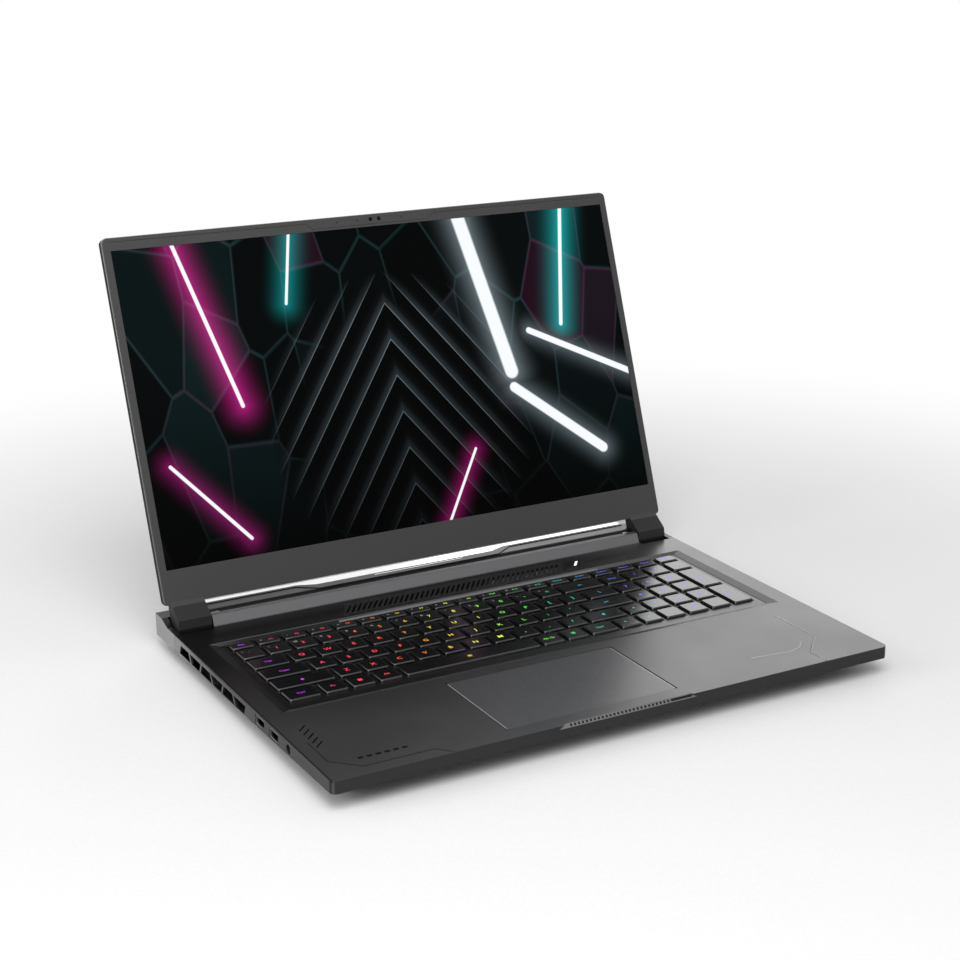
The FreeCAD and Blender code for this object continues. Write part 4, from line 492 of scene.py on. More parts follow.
# %% [markdown]
# ## Lights in the deck
# A slanted white light beside the power button is lit; the six small dashes near the front edge are dark
# windows. One node holds both, so the glow depends on how far back a point lies.

# %% Light windows
LIT_FROM, LIT_FULL = -10.0, 10.0
# Milky acrylic: white and even where it is lit, black where it is not.
pipe, tree, shader = blank("milky_light_windows", IOR=1.49, Roughness=0.35, Specular_IOR_Level=0.12)
place = add(tree, "ShaderNodeTexCoord").outputs["Object"]
_, backward, _ = add(tree, "ShaderNodeSeparateXYZ", {0: place}).outputs
rear = add(tree, "ShaderNodeMapRange", {"Value": backward, "From Min": LIT_FROM * MM,
                                        "From Max": LIT_FULL * MM}).outputs[0]
milky = add(tree, "ShaderNodeValToRGB", {0: rear}, [(0.0, "#030303"), (1.0, "#f4f8fa")]).outputs[0]
plug(tree, shader, {"Base Color": milky, "Emission Color": milky, "Emission Strength": rear})
finish["light_pipe"] = pipe
print("light windows:", pipe.name)

# %% [markdown]
# ## Screen picture
# The panel shows a dark hall with light tubes. It is an abstract picture made for this machine: slanted
# tubes in magenta, white and teal before dark facets, and a fan of chevrons. All of it is worked out in the
# material from the panel's own coordinates, which a mapping turns into the plane of the lid.

# %% Panel coordinates
OPENING = math.radians(110.0)
low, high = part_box("lcd_sheet")
panel_centre = (low + high) / 2
# Etched glass over the lit panel: it scatters reflections, so the picture stays deep.
screen, tree, shader = blank("antiglare_screen_glass", IOR=1.5, Roughness=0.32, Specular_IOR_Level=0.02)
plug(tree, shader, {"Base Color": rgb("#010101")})
place = add(tree, "ShaderNodeTexCoord").outputs["Object"]
turned = add(tree, "ShaderNodeMapping", {"Vector": place, "Location": panel_centre,
                                         "Rotation": (math.pi - OPENING, 0, 0)},
             vector_type="TEXTURE").outputs[0]
panel = add(tree, "ShaderNodeVectorMath", {0: turned, 1: (1, 1, 0)}, operation="MULTIPLY").outputs[0]
sideways, upward, _ = add(tree, "ShaderNodeSeparateXYZ", {0: panel}).outputs
print("panel centre", [round(x, 4) for x in panel_centre])

# %% Light tubes
TUBE_WHITE, TUBE_CORE, HALO_FALL = "#f9fcff", 0.75, 3.0


def tube(start, end, half_mm, glow_mm, tint, power):
    """Light of one tube on the panel: a white-hot core inside a coloured glow."""
    a, b = Vector((*start, 0)) * MM, Vector((*end, 0)) * MM
    way = (b - a).normalized()
    off = add(tree, "ShaderNodeVectorMath", {0: panel, 1: a}, operation="SUBTRACT").outputs[0]
    run = add(tree, "ShaderNodeVectorMath", {0: off, 1: way}, operation="DOT_PRODUCT").outputs["Value"]
    run = add(tree, "ShaderNodeClamp", {"Value": run, "Min": 0.0, "Max": (b - a).length}).outputs[0]
    foot = add(tree, "ShaderNodeVectorMath", {0: way, "Scale": run}, operation="SCALE").outputs[0]
    gap = add(tree, "ShaderNodeVectorMath", {0: off, 1: foot}, operation="DISTANCE").outputs["Value"]
    half, reach = half_mm * MM, glow_mm * MM
    core = add(tree, "ShaderNodeMapRange", {"Value": gap, "From Min": half, "From Max": half * TUBE_CORE})
    core = core.outputs[0]
    halo = add(tree, "ShaderNodeMapRange", {"Value": gap, "From Min": reach, "From Max": half}).outputs[0]
    halo = add(tree, "ShaderNodeMath", {0: halo, 1: HALO_FALL}, operation="POWER").outputs[0]
    halo = add(tree, "ShaderNodeMath", {0: halo, 1: power}, operation="MULTIPLY").outputs[0]
    shade = add(tree, "ShaderNodeVectorMath", {0: rgb(tint)[:3], "Scale": halo}, operation="SCALE").outputs[0]
    return add(tree, "ShaderNodeMix", {0: core, 6: shade, 7: rgb(TUBE_WHITE)}, data_type="RGBA").outputs[2]


# Start and end from the middle of the panel, half width and reach of the glow, all in mm; tint and strength.
TUBES = [
    ((-152, 120), (-118, -6), 1.6, 26, "#e0249c", 0.5),
    ((-176, -40), (-128, -96), 1.4, 20, "#b01c80", 0.4),
    ((66, 125), (92, -8), 6.0, 30, "#9fb0b8", 0.32),
    ((92, -20), (158, -74), 4.2, 24, "#8fa0a8", 0.28),
    ((112, 20), (196, -22), 2.6, 20, "#8fa0a8", 0.25),
    ((158, 120), (140, 22), 1.7, 26, "#18c8c8", 0.5),
    ((-60, 125), (-74, 60), 1.2, 22, "#18b8b8", 0.4),
    ((20, -112), (52, -60), 1.1, 18, "#c81e8c", 0.3),
]
tube_light = tube(*TUBES[0])
for row in TUBES[1:]:
    pair = {0: tube_light, 1: tube(*row)}
    tube_light = add(tree, "ShaderNodeVectorMath", pair, operation="MAXIMUM").outputs[0]
print("tubes:", len(TUBES))

# %% Facets
FACET_MM, FACET_TURN, FACET_SHARE, FACET_RIM = 38.46, 0.5, 0.55, 0.03
lean = add(tree, "ShaderNodeMapping", {"Vector": panel, "Rotation": (0, 0, FACET_TURN),
                                       "Scale": (1.0, FACET_SHARE, 1.0)}).outputs[0]
spread = {"Vector": lean, "Scale": 1 / (FACET_MM * MM)}
cells = add(tree, "ShaderNodeTexVoronoi", spread, voronoi_dimensions="2D").outputs["Color"]
rims = add(tree, "ShaderNodeTexVoronoi", spread, voronoi_dimensions="2D", feature="DISTANCE_TO_EDGE")
rim = add(tree, "ShaderNodeMapRange", {"Value": rims.outputs["Distance"], "From Min": FACET_RIM,
                                       "From Max": 0.0}).outputs[0]
pick, _, _ = add(tree, "ShaderNodeSeparateXYZ", {0: cells}).outputs
FACET_TONES = [(0.0, "#010202"), (0.55, "#05090a"), (0.8, "#0c1e20"), (1.0, "#200b1a")]
RIM_TONES = [(0.0, "#070c0d"), (0.6, "#1f383b"), (1.0, "#451838")]
facet_tone = add(tree, "ShaderNodeValToRGB", {0: pick}, FACET_TONES).outputs[0]
rim_tone = add(tree, "ShaderNodeValToRGB", {0: pick}, RIM_TONES).outputs[0]
hall = add(tree, "ShaderNodeMix", {0: rim, 6: facet_tone, 7: rim_tone}, data_type="RGBA").outputs[2]
print("facets about", FACET_MM, "mm wide")

# %% Chevrons and the whole picture
CHEVRON_SLOPE, CHEVRON_MM = 1.35, 26.0
FAN_MIDDLE, FAN_FROM, FAN_FULL = -30.0, 105.0, 75.0
DIM_FROM, DIM_FULL, DIM_SHARE = -110.0, 30.0, 0.06
CHEVRON_TONES = [(0.0, "#7c8a90"), (0.05, "#2e363a"), (0.35, "#0a0d0f"), (0.6, "#020303")]
aside = add(tree, "ShaderNodeMath", {0: sideways}, operation="ABSOLUTE").outputs[0]
rise = add(tree, "ShaderNodeMath", {0: aside, 1: CHEVRON_SLOPE, 2: upward},
           operation="MULTIPLY_ADD").outputs[0]
band = add(tree, "ShaderNodeMath", {0: rise, 1: 1 / (CHEVRON_MM * MM)}, operation="MULTIPLY").outputs[0]
band = add(tree, "ShaderNodeMath", {0: band}, operation="FRACT").outputs[0]
chevron = add(tree, "ShaderNodeValToRGB", {0: band}, CHEVRON_TONES).outputs[0]
reach = add(tree, "ShaderNodeVectorMath", {0: panel, 1: (0.0, FAN_MIDDLE * MM, 0.0)},
            operation="DISTANCE").outputs["Value"]
fan = add(tree, "ShaderNodeMapRange", {"Value": reach, "From Min": FAN_FROM * MM,
                                       "From Max": FAN_FULL * MM}).outputs[0]
hall = add(tree, "ShaderNodeMix", {0: fan, 6: hall, 7: chevron}, data_type="RGBA").outputs[2]
dim = add(tree, "ShaderNodeMapRange", {"Value": upward, "From Min": DIM_FROM * MM, "From Max": DIM_FULL * MM,
                                       "To Min": DIM_SHARE}).outputs[0]
hall = add(tree, "ShaderNodeVectorMath", {0: hall, "Scale": dim}, operation="SCALE").outputs[0]
picture = add(tree, "ShaderNodeVectorMath", {0: hall, 1: tube_light}, operation="ADD").outputs[0]
plug(tree, shader, {"Emission Color": picture, "Emission Strength": 1.0})
finish["screen"] = screen
print("screen picture nodes:", len(tree.nodes))

# %% [markdown]
# ## Finishes on the solids
# The record says which slot each node takes. A solid keeps its place and its mesh, and only its material
# changes. The bar between and behind the hinges shares the deck's slot but is painted black, with bare
# bright ends.

# %% Give each solid its finish
for part in frame["record"]["subparts"]:
    mesh = frame["nodes"][part["node"]].data
    mesh.materials.clear()
    mesh.materials.append(finish[part["material_slot"]])
# Satin paint on metal: black, with a soft line of light along the crest.
bar_paint = blasted_metal("satin_painted_bar", "#0f0f10", "#141415", "#2c2c2e", 0.36, BAR_ZONES)
frame["nodes"]["rear_bar"].data.materials[0] = bar_paint

# %% [markdown]
# ## Keys
# Moulded caps have rounded corners and a soft top edge, which catches a thin line of light at the front of
# each key. The solid caps have flat sides, so each group is copied, its corners are rounded with a bevel, and
# the copy stands for the group. It rides on the same body, so it goes down with its row.

# %% Soft copies of solids
CAP_CORNER_MM, CAP_EDGE_MM = 0.9, 0.22
MERGE_DISTANCE, NEAR_TOP_MM, SHARP_RIM = 1e-6, 0.05, 0.3
FLAT_ANGLE, SHARP_ANGLE = math.radians(1), math.radians(35)
SMOOTH_BELOW_MM2 = 8


def softened(node, name, corner_mm, edge_mm, body, slot):
    """A copy of a node with rounded upright corners and a soft upper edge, which stands for the node."""
    bm = bmesh.new()
    bm.from_mesh(frame["nodes"][node].data)
    bmesh.ops.remove_doubles(bm, verts=bm.verts, dist=MERGE_DISTANCE)
    bmesh.ops.dissolve_limit(bm, angle_limit=FLAT_ANGLE, verts=bm.verts, edges=bm.edges)
    upright = [e for e in bm.edges if abs((e.verts[0].co - e.verts[1].co).z) > 0.5 * e.calc_length()]
    bmesh.ops.bevel(bm, geom=upright, offset=corner_mm * MM, segments=3, profile=0.5, affect="EDGES",
                    clamp_overlap=True)
    top = max(v.co.z for v in bm.verts) - NEAR_TOP_MM * MM
    rim = [e for e in bm.edges if min(v.co.z for v in e.verts) > top and e.calc_face_angle(0) > SHARP_RIM]
    bmesh.ops.bevel(bm, geom=rim, offset=edge_mm * MM, segments=2, profile=0.5, affect="EDGES",
                    clamp_overlap=True)
    mesh = bpy.data.meshes.new(name)
    bm.to_mesh(mesh)
    bm.free()
    mesh.set_sharp_from_angle(angle=SHARP_ANGLE)
    for face in mesh.polygons:
        face.use_smooth = face.area < SMOOTH_BELOW_MM2 * MM * MM
    mesh.materials.append(finish[slot])
    obj = bpy.data.objects.new(name, mesh)
    scene.collection.objects.link(obj)
    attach(obj, body)
    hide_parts(node)
    return obj


ROWS = ("function", "number", "tab", "caps", "shift", "bottom")
caps = {}
for row in ROWS:
    caps[row] = softened(row + "_row_keys", row + "_row_caps", CAP_CORNER_MM, CAP_EDGE_MM,
                         row + "_row", "keys")
caps["space"] = softened("space_bar", "space_bar_cap", CAP_CORNER_MM, CAP_EDGE_MM, "space_bar", "keys")
print("caps:", {row: len(obj.data.polygons) for row, obj in caps.items()})

# %% [markdown]
# ## Key legends
# The letters are windows in the black coat through which coloured light shines: violet at the left, then
# crimson, orange, yellow, green, teal and blue, and violet again at the number pad. Each legend is flat text
# or a drawn sign, made a mesh and laid on its own cap. The caps' places are read from the solids, from left
# to right.

# %% Legend light
RAINBOW_HALF_MM, LEGEND_GLOW, SECOND_GLOW, WINDOW_MM = 175.0, 0.75, 0.22, 2.0
RAINBOW = [(0.0, "#9a2ad8"), (0.06, "#a832c8"), (0.10, "#e83058"), (0.18, "#f23458"), (0.23, "#f04540"),
           (0.28, "#ea5c30"), (0.33, "#e4902c"), (0.38, "#dcd030"), (0.46, "#c8e436"), (0.52, "#70dc3a"),
           (0.59, "#50dc50"), (0.64, "#24c08a"), (0.70, "#20b4b0"), (0.77, "#2c88cc"), (0.82, "#5a58d8"),
           (1.0, "#6a58dc")]
# Clear acrylic lit from below: a flat glow, bright against the black coat.
legend_light, tree, shader = blank("lit_legend_windows", IOR=1.49, Roughness=0.4)
place = add(tree, "ShaderNodeTexCoord").outputs["Object"]
along, _, _ = add(tree, "ShaderNodeSeparateXYZ", {0: place}).outputs
share = add(tree, "ShaderNodeMapRange", {"Value": along, "From Min": -RAINBOW_HALF_MM * MM,
                                         "From Max": RAINBOW_HALF_MM * MM}).outputs[0]
hue = add(tree, "ShaderNodeValToRGB", {0: share}, RAINBOW).outputs[0]
plug(tree, shader, {"Base Color": hue, "Emission Color": hue, "Emission Strength": LEGEND_GLOW})
# The second signs get little light: a dim grey.
second_light, tree, shader = blank("dim_white_legend_windows", IOR=1.49, Roughness=0.4,
                                   Emission_Strength=SECOND_GLOW)
place = add(tree, "ShaderNodeTexCoord").outputs["Object"]
patch = add(tree, "ShaderNodeTexNoise", {"Vector": place, "Scale": 1 / (WINDOW_MM * MM)}).outputs["Fac"]
GREYS = [(NOISE_LOW, "#949496"), (NOISE_HIGH, "#a8a8aa")]
grey = add(tree, "ShaderNodeValToRGB", {0: patch}, GREYS).outputs[0]
plug(tree, shader, {"Base Color": grey, "Emission Color": grey})
print("legend colours:", len(RAINBOW))

# %% Legend shapes
SIGN_SHARE, LEGEND_BOLD, LEGEND_CURVE = 0.8, 0.004, 2
# Outlines of the drawn signs in mm about their own middle.
SIGNS = {
    "left": [[(-2, 0), (-0.4, 1.2), (-0.4, 0.3), (2, 0.3), (2, -0.3), (-0.4, -0.3), (-0.4, -1.2)]],
    "right": [[(2, 0), (-0.6, -1.4), (-0.6, 1.4)]],
    "back": [[(-2, 0), (-0.6, -1.4), (-0.6, 1.4)]],
    "up": [[(0, 1.8), (-1.4, -0.8), (1.4, -0.8)]],
    "down": [[(0, -1.8), (1.4, 0.8), (-1.4, 0.8)]],
    "shift": [[(0, 2.0), (-1.9, 0.1), (-1.0, 0.1), (-1.0, -1.6), (1.0, -1.6), (1.0, 0.1), (1.9, 0.1)]],
    "enter": [[(-2.2, 0), (-0.8, 1.1), (-0.8, 0.3), (1.6, 0.3), (1.6, 1.6), (2.2, 1.6), (2.2, -0.3),
               (-0.8, -0.3), (-0.8, -1.1)]],
    "menu": [[(-1.8, y + 0.3), (-1.8, y - 0.3), (1.8, y - 0.3), (1.8, y + 0.3)] for y in (1.2, 0.0, -1.2)],
    "home": [[(-1.8, -1.8), (1.8, -1.8), (1.8, 1.8), (-1.8, 1.8)]],
}


def sign_mesh(word, size_mm):
    """Faces of one legend about its own middle: a drawn sign, or text."""
    bm = bmesh.new()
    if word in SIGNS:
        for outline in SIGNS[word]:
            bm.faces.new([bm.verts.new((x * SIGN_SHARE * MM, y * SIGN_SHARE * MM, 0)) for x, y in outline])
    else:
        text = bpy.data.curves.new("legend", "FONT")
        text.body = word
        text.size = size_mm * MM
        text.align_x, text.align_y = "CENTER", "CENTER"
        text.resolution_u = LEGEND_CURVE
        text.offset = LEGEND_BOLD * size_mm * MM
        holder = bpy.data.objects.new("legend", text)
        scene.collection.objects.link(holder)
        bpy.context.view_layer.update()
        mesh = bpy.data.meshes.new_from_object(holder.evaluated_get(bpy.context.evaluated_depsgraph_get()))
        bm.from_mesh(mesh)
        bpy.data.objects.remove(holder)
        bpy.data.curves.remove(text)
        bpy.data.meshes.remove(mesh)
    bmesh.ops.triangulate(bm, faces=bm.faces)
    for face in bm.faces:
        if face.normal.z < 0:
            face.normal_flip()
    return bm


print("drawn signs:", sorted(SIGNS))

# %% Places of the caps
def top_middles(node):
    """Middle of the top of every loose piece in a node, from left to right."""
    bm = bmesh.new()
    bm.from_mesh(frame["nodes"][node].data)
    bmesh.ops.remove_doubles(bm, verts=bm.verts, dist=MERGE_DISTANCE)
    middles, left = [], set(bm.verts)
    while left:
        island, stack = [], [left.pop()]
        while stack:
            vert = stack.pop()
            island.append(vert.co.copy())
            for link in vert.link_edges:
                other = link.other_vert(vert)
                if other in left:
                    left.remove(other)
                    stack.append(other)
        xs, ys, zs = zip(*island)
        middles.append(((min(xs) + max(xs)) / 2, (min(ys) + max(ys)) / 2, max(zs)))
    bm.free()
    return sorted(middles)


print("caps in the tab row:", len(top_middles("tab_row_keys")))

# %% Legends on the caps
WORD_MM, LETTER_MM, FUNCTION_MM, SECOND_MM = 3.4, 5.2, 3.0, 3.2
FUNCTION_KEYS, FUNCTION_SHIFT, SECOND_SHIFT = 13, 2.4, -4.2
FUNCTION_RISE, SECOND_RISE = 0.8, 3.6
LEGEND_LIFT = 0.02


def marks_of(row, index, word, second):
    """Legends of one cap: word, size, shift across, shift back (in mm) and material index."""
    if row == "function" and index:
        marks = [(word, FUNCTION_MM, FUNCTION_SHIFT if index < FUNCTION_KEYS else 0.0, 0.0, 0)]
    else:
        marks = [(word, WORD_MM if len(word) > 1 else LETTER_MM, 0.0, 0.0, 0)]
    if second:
        rise = FUNCTION_RISE if row == "function" else SECOND_RISE
        marks.append((second, SECOND_MM, SECOND_SHIFT, rise, 1))
    return marks


def legends(row, node, body, words, seconds=()):
    """One mesh with every legend of a row, in two materials, on the row's body."""
    mesh = bpy.data.meshes.new(row + "_legends")
    points, faces, kinds = [], [], []
    for index, (x, y, z) in enumerate(top_middles(node)):
        second = seconds[index] if index < len(seconds) else ""
        for word, size, dx, dy, kind in marks_of(row, index, words[index], second):
            bm = sign_mesh(word, size)
            first = len(points)
            bm.verts.index_update()
            points += [(v.co.x + x + dx * MM, v.co.y + y + dy * MM, z + LEGEND_LIFT * MM) for v in bm.verts]
            faces += [[first + v.index for v in f.verts] for f in bm.faces]
            kinds += [kind] * len(bm.faces)
            bm.free()
    mesh.from_pydata(points, [], faces)
    mesh.materials.append(legend_light)
    mesh.materials.append(second_light)
    mesh.polygons.foreach_set("material_index", kinds)
    obj = bpy.data.objects.new(row + "_legends", mesh)
    scene.collection.objects.link(obj)
    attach(obj, body)
    return obj


WORDS = {
    "function": ["Esc"] + ["F%d" % n for n in range(1, FUNCTION_KEYS)]
                + ["Pause", "PrtSc", "Delete", "Home", "PgUp", "PgDn"],
    "number": list("`1234567890-=") + ["left", "Num", "/", "*", "-"],
    "tab": ["Tab"] + list("QWERTYUIOP[]\\789+"),
    "caps": ["Caps"] + list("ASDFGHJKL;'") + ["enter"] + list("456"),
    "shift": ["shift"] + list("ZXCVBNM,./") + ["shift", "up"] + list("123") + ["enter"],
    "bottom": ["Ctrl", "Fn", "home", "Alt", "Alt Gr", "menu", "Ctrl", "back", "down", "right", "0", "."],
}
SECONDS = {"number": list("~!@#$%^&*()_+"), "function": [""] + list("+-<>=x*o:|#!")}
for row in ROWS:
    made = legends(row, row + "_row_keys", row + "_row", WORDS[row], SECONDS.get(row, ()))
    print(row, "legends:", len(made.data.polygons), "faces")
legends("space", "space_bar", "space_bar", ["menu"])

# %% [markdown]
# ## Screws in the bottom cover
# Twelve flat cross-head screws hold the cover. They are all alike, so a small node tree makes one head from a
# cylinder with a cross cut in it and sets it on each point. Every tree in this file starts with named sizes
# and ends with real faces in one material, and its result is kept as a plain mesh.

# %% Start, end and use of a node tree
def new_tree(name, sizes):
    """A geometry node tree with a named input for each size in mm, and the outputs of its input node."""
    group = bpy.data.node_groups.new(name, "GeometryNodeTree")
    face = group.interface
    face.new_socket("Geometry", in_out="INPUT", socket_type="NodeSocketGeometry")
    for label, size in sizes.items():
        face.new_socket(label, in_out="INPUT", socket_type="NodeSocketFloat").default_value = size * MM
    face.new_socket("Geometry", in_out="OUTPUT", socket_type="NodeSocketGeometry")
    return group, add(group, "NodeGroupInput").outputs


def close_tree(group, shape, material):
    """Makes the instances real, sets the material and ends the tree."""
    real = add(group, "GeometryNodeRealizeInstances", {"Geometry": shape})
    dressed = add(group, "GeometryNodeSetMaterial", {"Geometry": real.outputs[0], "Material": material})
    add(group, "NodeGroupOutput", {"Geometry": dressed.outputs[0]})
    return group


def grown(name, points, group, body, slot, values=None, edges=()):
    """Runs a tree on points, or on edges between them, and keeps the result as a plain mesh on a body."""
    seed = bpy.data.meshes.new(name + "_points")
    seed.from_pydata(points, edges, [])
    holder = bpy.data.objects.new(name + "_points", seed)
    scene.collection.objects.link(holder)
    modifier = holder.modifiers.new("grow", "NODES")
    modifier.node_group = group
    for item in group.interface.items_tree:
        if values and item.name in values:
            modifier[item.identifier] = values[item.name]
    graph = bpy.context.evaluated_depsgraph_get()
    mesh = bpy.data.meshes.new_from_object(holder.evaluated_get(graph))
    holder.modifiers.clear()
    bpy.data.objects.remove(holder)
    mesh.name = name
    obj = bpy.data.objects.new(name, mesh)
    scene.collection.objects.link(obj)
    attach(obj, body)
    return obj


print("tree helpers:", [helper.__name__ for helper in (new_tree, close_tree, grown)])

# %% Screws
SCREW_SIZES = {"Head radius": 2.4, "Head height": 0.5}
HEAD_SIDES, CROSS_LONG, CROSS_WIDE, CROSS_DROP = 24, 1.1, 0.26, -0.6
COVER_UNDER, SCREW_SINK = 2.5, 0.15
SCREWS = [(168, -132), (60, -148), (168, -40), (168, 55), (145, 85), (55, 0)]


def screw_tree(material):
    """Geometry nodes: a screw head on every point."""
    group, given = new_tree("cover_screws", SCREW_SIZES)
    radius, height = given["Head radius"], given["Head height"]
    cut = add(group, "GeometryNodeMeshCylinder", {"Vertices": HEAD_SIDES, "Radius": radius,
                                                  "Depth": height}).outputs[0]
    arm = add(group, "ShaderNodeMath", {0: radius, 1: CROSS_LONG}, operation="MULTIPLY").outputs[0]
    slim = add(group, "ShaderNodeMath", {0: radius, 1: CROSS_WIDE}, operation="MULTIPLY").outputs[0]
    lower = add(group, "ShaderNodeMath", {0: height, 1: CROSS_DROP}, operation="MULTIPLY").outputs[0]
    drop = add(group, "ShaderNodeCombineXYZ", {2: lower}).outputs[0]
    for along, wide in ((arm, slim), (slim, arm)):
        size = add(group, "ShaderNodeCombineXYZ", {0: along, 1: wide, 2: height}).outputs[0]
        stroke = add(group, "GeometryNodeMeshCube", {"Size": size}).outputs[0]
        moved = add(group, "GeometryNodeTransform", {"Geometry": stroke, "Translation": drop}).outputs[0]
        cut = add(group, "GeometryNodeMeshBoolean", {"Mesh 1": cut, "Mesh 2": moved},
                  operation="DIFFERENCE").outputs[0]
    heads = add(group, "GeometryNodeInstanceOnPoints", {"Points": given["Geometry"], "Instance": cut})
    return close_tree(group, heads.outputs[0], material)


# Black zinc on steel: dark, with a small glint.
screw_steel = brushed_metal("black_zinc_screws", "#2c2c2e", "#3a3a3c", 0.35, EVEN)
points = [(side * x * MM, y * MM, (COVER_UNDER - SCREW_SINK) * MM) for x, y in SCREWS for side in (-1, 1)]
screws = grown("cover_screws", points, screw_tree(screw_steel), "base", "hinge")
print("screws:", len(points), "heads,", len(screws.data.polygons), "faces")

# %% [markdown]
# ## Bars across the air intakes
# Long slots in the cover let air in under the fans. Thin bars cross each slot, so that nothing thick gets in.
# The bars stand in rows, so a grid of points carries one small bar, and the same tree serves every slot.

# %% Intake bars
BAR_SIZES = {"Bar width": 0.7, "Bar length": 3.2, "Bar height": 0.6}
INTAKE_X, INTAKE_Y, INTAKE_LONG, INTAKE_STEP, INTAKE_ROWS = 126.0, 11.97, 56.0, 6.6, 9
BAR_STEP, BAR_Z = 3.5, 3.2


def bar_tree(material):
    """Geometry nodes: one small bar on every point."""
    group, given = new_tree("intake_bars", BAR_SIZES)
    size = add(group, "ShaderNodeCombineXYZ", {i: given[name] for i, name in enumerate(BAR_SIZES)})
    block = add(group, "GeometryNodeMeshCube", {"Size": size.outputs[0]}).outputs[0]
    blocks = add(group, "GeometryNodeInstanceOnPoints", {"Points": given["Geometry"], "Instance": block})
    return close_tree(group, blocks.outputs[0], material)


steps = [BAR_STEP * (i + 0.5) - INTAKE_LONG / 2 for i in range(int(INTAKE_LONG / BAR_STEP))]
slots = [(i - (INTAKE_ROWS - 1) / 2) * INTAKE_STEP for i in range(INTAKE_ROWS)]
points = [((side * INTAKE_X + x) * MM, (INTAKE_Y + y) * MM, BAR_Z * MM)
          for side in (-1, 1) for y in slots for x in steps]
grown("intake_bars", points, bar_tree(finish["bottom_shell"]), "base", "bottom_shell")
print("intake bars:", len(points))

# %% [markdown]
# ## Dash windows
# Six smoked windows near the front left edge cover charge and drive lights, which are off. Each is one flat
# plate like the next, so the bar tree makes them too, with their own sizes and a black finish.

# %% Dash windows
DASH_SIZES = {"Bar width": 3.4 * MM, "Bar length": 2.4 * MM, "Bar height": 0.06 * MM}
DASH_LIFT = 0.01
# Smoked acrylic: black while the light below is off.
smoked = moulded_plastic("smoked_window_plastic", "#020202", "#040404", "#060606", 0.45,
                         grain_mm=0.4, edge_mm=0.1, bump=0.1, level=0.08)
points = [(x, y, z + DASH_LIFT * MM) for x, y, z in top_middles("status_lights") if y < 0]
grown("dash_windows", points, bar_tree(smoked), "base", "light_pipe", DASH_SIZES)
print("dash windows:", len(points))

# %% [markdown]
# ## Bright strip and light slot on the bar
# The back of the bar's crest is polished to a mirror, wider in the middle, and in front of it a thin slot
# glows. Both are flat inlays: an outline is raised into a thin plate, which can be seen from every side.

# %% Inlays on the bar
CREST_TOP, CREST_REAR, CREST_FRONT, CREST_MIDDLE = 26.5, 104.0, 99.6, 94.6
CREST_MARGIN, NEAR_CREST = 0.4, 0.1
WIDE_LEFT, WIDE_RIGHT, TAPER_LEFT, TAPER_RIGHT = -84, 54, -98, 66
STRIP_SINK, STRIP_RISE = 0.05, 0.03
SLOT_LEFT, SLOT_RIGHT, SLOT_FRONT, SLOT_REAR = -40.9, 28.9, 92.05, 92.75
SLOT_SINK, SLOT_COVER, SLOT_GLOW, SLOT_PATCH_MM = 0.45, 0.05, 0.9, 3.33


def plate(name, outline, low_mm, high_mm, material, body):
    """A flat plate from an outline in mm."""
    bm = bmesh.new()
    underside = bm.faces.new([bm.verts.new((x * MM, y * MM, low_mm * MM)) for x, y in outline])
    lifted = bmesh.ops.extrude_face_region(bm, geom=[underside])["geom"]
    raised = [g for g in lifted if isinstance(g, bmesh.types.BMVert)]
    bmesh.ops.translate(bm, verts=raised, vec=(0, 0, (high_mm - low_mm) * MM))
    bmesh.ops.recalc_face_normals(bm, faces=bm.faces)
    mesh = bpy.data.meshes.new(name)
    bm.to_mesh(mesh)
    bm.free()
    mesh.materials.append(material)
    obj = bpy.data.objects.new(name, mesh)
    scene.collection.objects.link(obj)
    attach(obj, body)
    return obj


# Polished metal: a clear bright line that mirrors the studio.
mirror = brushed_metal("polished_strip_metal", "#ececee", "#fafafc", 0.14, ALONG_X)
crest = [v.co.x for v in frame["nodes"]["rear_bar"].data.vertices if v.co.z > (CREST_TOP - NEAR_CREST) * MM]
crest_half = max(crest) / MM - CREST_MARGIN
outline = [(-crest_half, CREST_REAR), (crest_half, CREST_REAR), (crest_half, CREST_FRONT),
           (TAPER_RIGHT, CREST_FRONT), (WIDE_RIGHT, CREST_MIDDLE), (WIDE_LEFT, CREST_MIDDLE),
           (TAPER_LEFT, CREST_FRONT), (-crest_half, CREST_FRONT)]
plate("crest_strip", outline, CREST_TOP - STRIP_SINK, CREST_TOP + STRIP_RISE, mirror, "base")
print("crest half width", round(crest_half, 2), "mm")

# %% Light slot
# Clear acrylic lit from behind: an even cool white.
glow, tree, shader = blank("lit_slot_window", IOR=1.49, Roughness=0.4, Emission_Strength=SLOT_GLOW)
place = add(tree, "ShaderNodeTexCoord").outputs["Object"]
patch = add(tree, "ShaderNodeTexNoise", {"Vector": place, "Scale": 1 / (SLOT_PATCH_MM * MM)}).outputs["Fac"]
COOL_WHITES = [(NOISE_LOW, "#e6f4f4"), (NOISE_HIGH, "#f6fcfc")]
cool = add(tree, "ShaderNodeValToRGB", {0: patch}, COOL_WHITES).outputs[0]
plug(tree, shader, {"Base Color": cool, "Emission Color": cool})
outline = [(SLOT_LEFT, SLOT_FRONT), (SLOT_RIGHT, SLOT_FRONT), (SLOT_RIGHT, SLOT_REAR), (SLOT_LEFT, SLOT_REAR)]
plate("crest_light", outline, CREST_TOP - SLOT_SINK, CREST_TOP - SLOT_COVER, glow, "base")
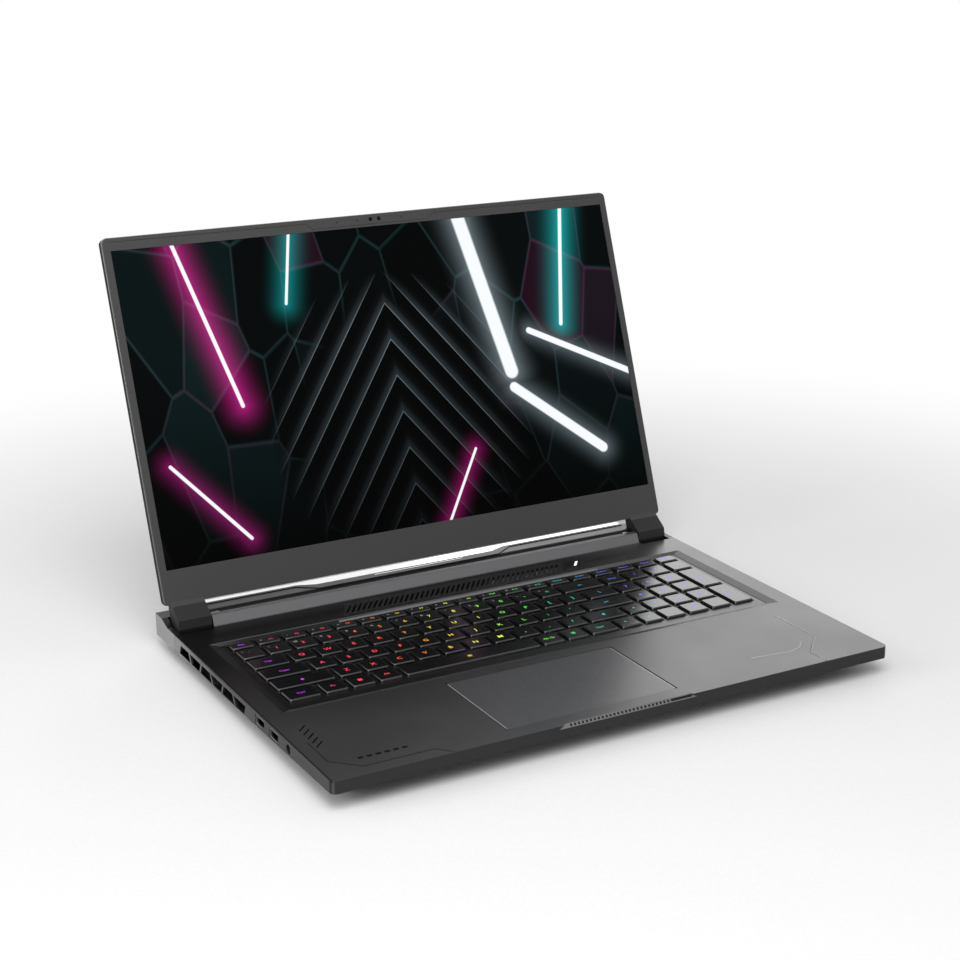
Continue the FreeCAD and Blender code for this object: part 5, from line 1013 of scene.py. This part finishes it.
print("light slot", round(SLOT_RIGHT - SLOT_LEFT, 1), "mm long")

# %% [markdown]
# ## Painted lines along the palm rest grooves
# The left palm rest has one fine angular line of painted shade. The right one has two lines of painted
# highlight. A line follows a path, so a small node tree sweeps a flat strip along its points.

# %% Palm lines
LINE_SIZES = {"Line width": 1.0, "Line height": 0.06}
DECK_TOP = 19.5


def line_tree(material):
    """Geometry nodes: a flat strip along the edges of a mesh."""
    group, given = new_tree("palm_line", LINE_SIZES)
    path = add(group, "GeometryNodeMeshToCurve", {"Mesh": given["Geometry"]})
    level = add(group, "GeometryNodeSetCurveNormal", {"Curve": path.outputs[0]}, mode="Z_UP")
    profile = add(group, "GeometryNodeCurvePrimitiveQuadrilateral", {"Width": given["Line width"],
                                                                     "Height": given["Line height"]})
    strip = add(group, "GeometryNodeCurveToMesh", {"Curve": level.outputs[0],
                                                   "Profile Curve": profile.outputs[0], "Fill Caps": True})
    return close_tree(group, strip.outputs[0], material)


# Painted shade makes the left groove matt and dark, and a painted highlight makes the right ones bright.
painted_groove_shade = blasted_metal("painted_groove_shade_line", "#09090a", "#0e0e0f", "#141415", 0.5)
painted_groove_highlight = brushed_metal("painted_groove_highlight_line", "#8c8c8e", "#9c9c9e", 0.36, EVEN)
LEFT_LINE = [(-188, -125.2), (-188, -153.4), (-173, -168.9), (-128, -168.9), (-121.1, -176.5)]
RIGHT_LINE = [(166, -98.9), (166, -141.9), (147, -161.9), (147, -177)]
INNER_LINE = [(108, -150.9), (136, -154.9), (146, -151.9), (155, -142.9)]
PALM_LINES = [("left_palm_line", LEFT_LINE, painted_groove_shade, 1.0), ("right_palm_line", RIGHT_LINE, painted_groove_highlight, 1.1),
              ("inner_palm_line", INNER_LINE, painted_groove_highlight, 1.1)]
for name, path, cut, width in PALM_LINES:
    points = [(x * MM, y * MM, DECK_TOP * MM) for x, y in path]
    joins = [(i, i + 1) for i in range(len(path) - 1)]
    strip = grown(name, points, line_tree(cut), "base", "deck", {"Line width": width * MM}, joins)
    print(name, "faces:", len(strip.data.polygons))
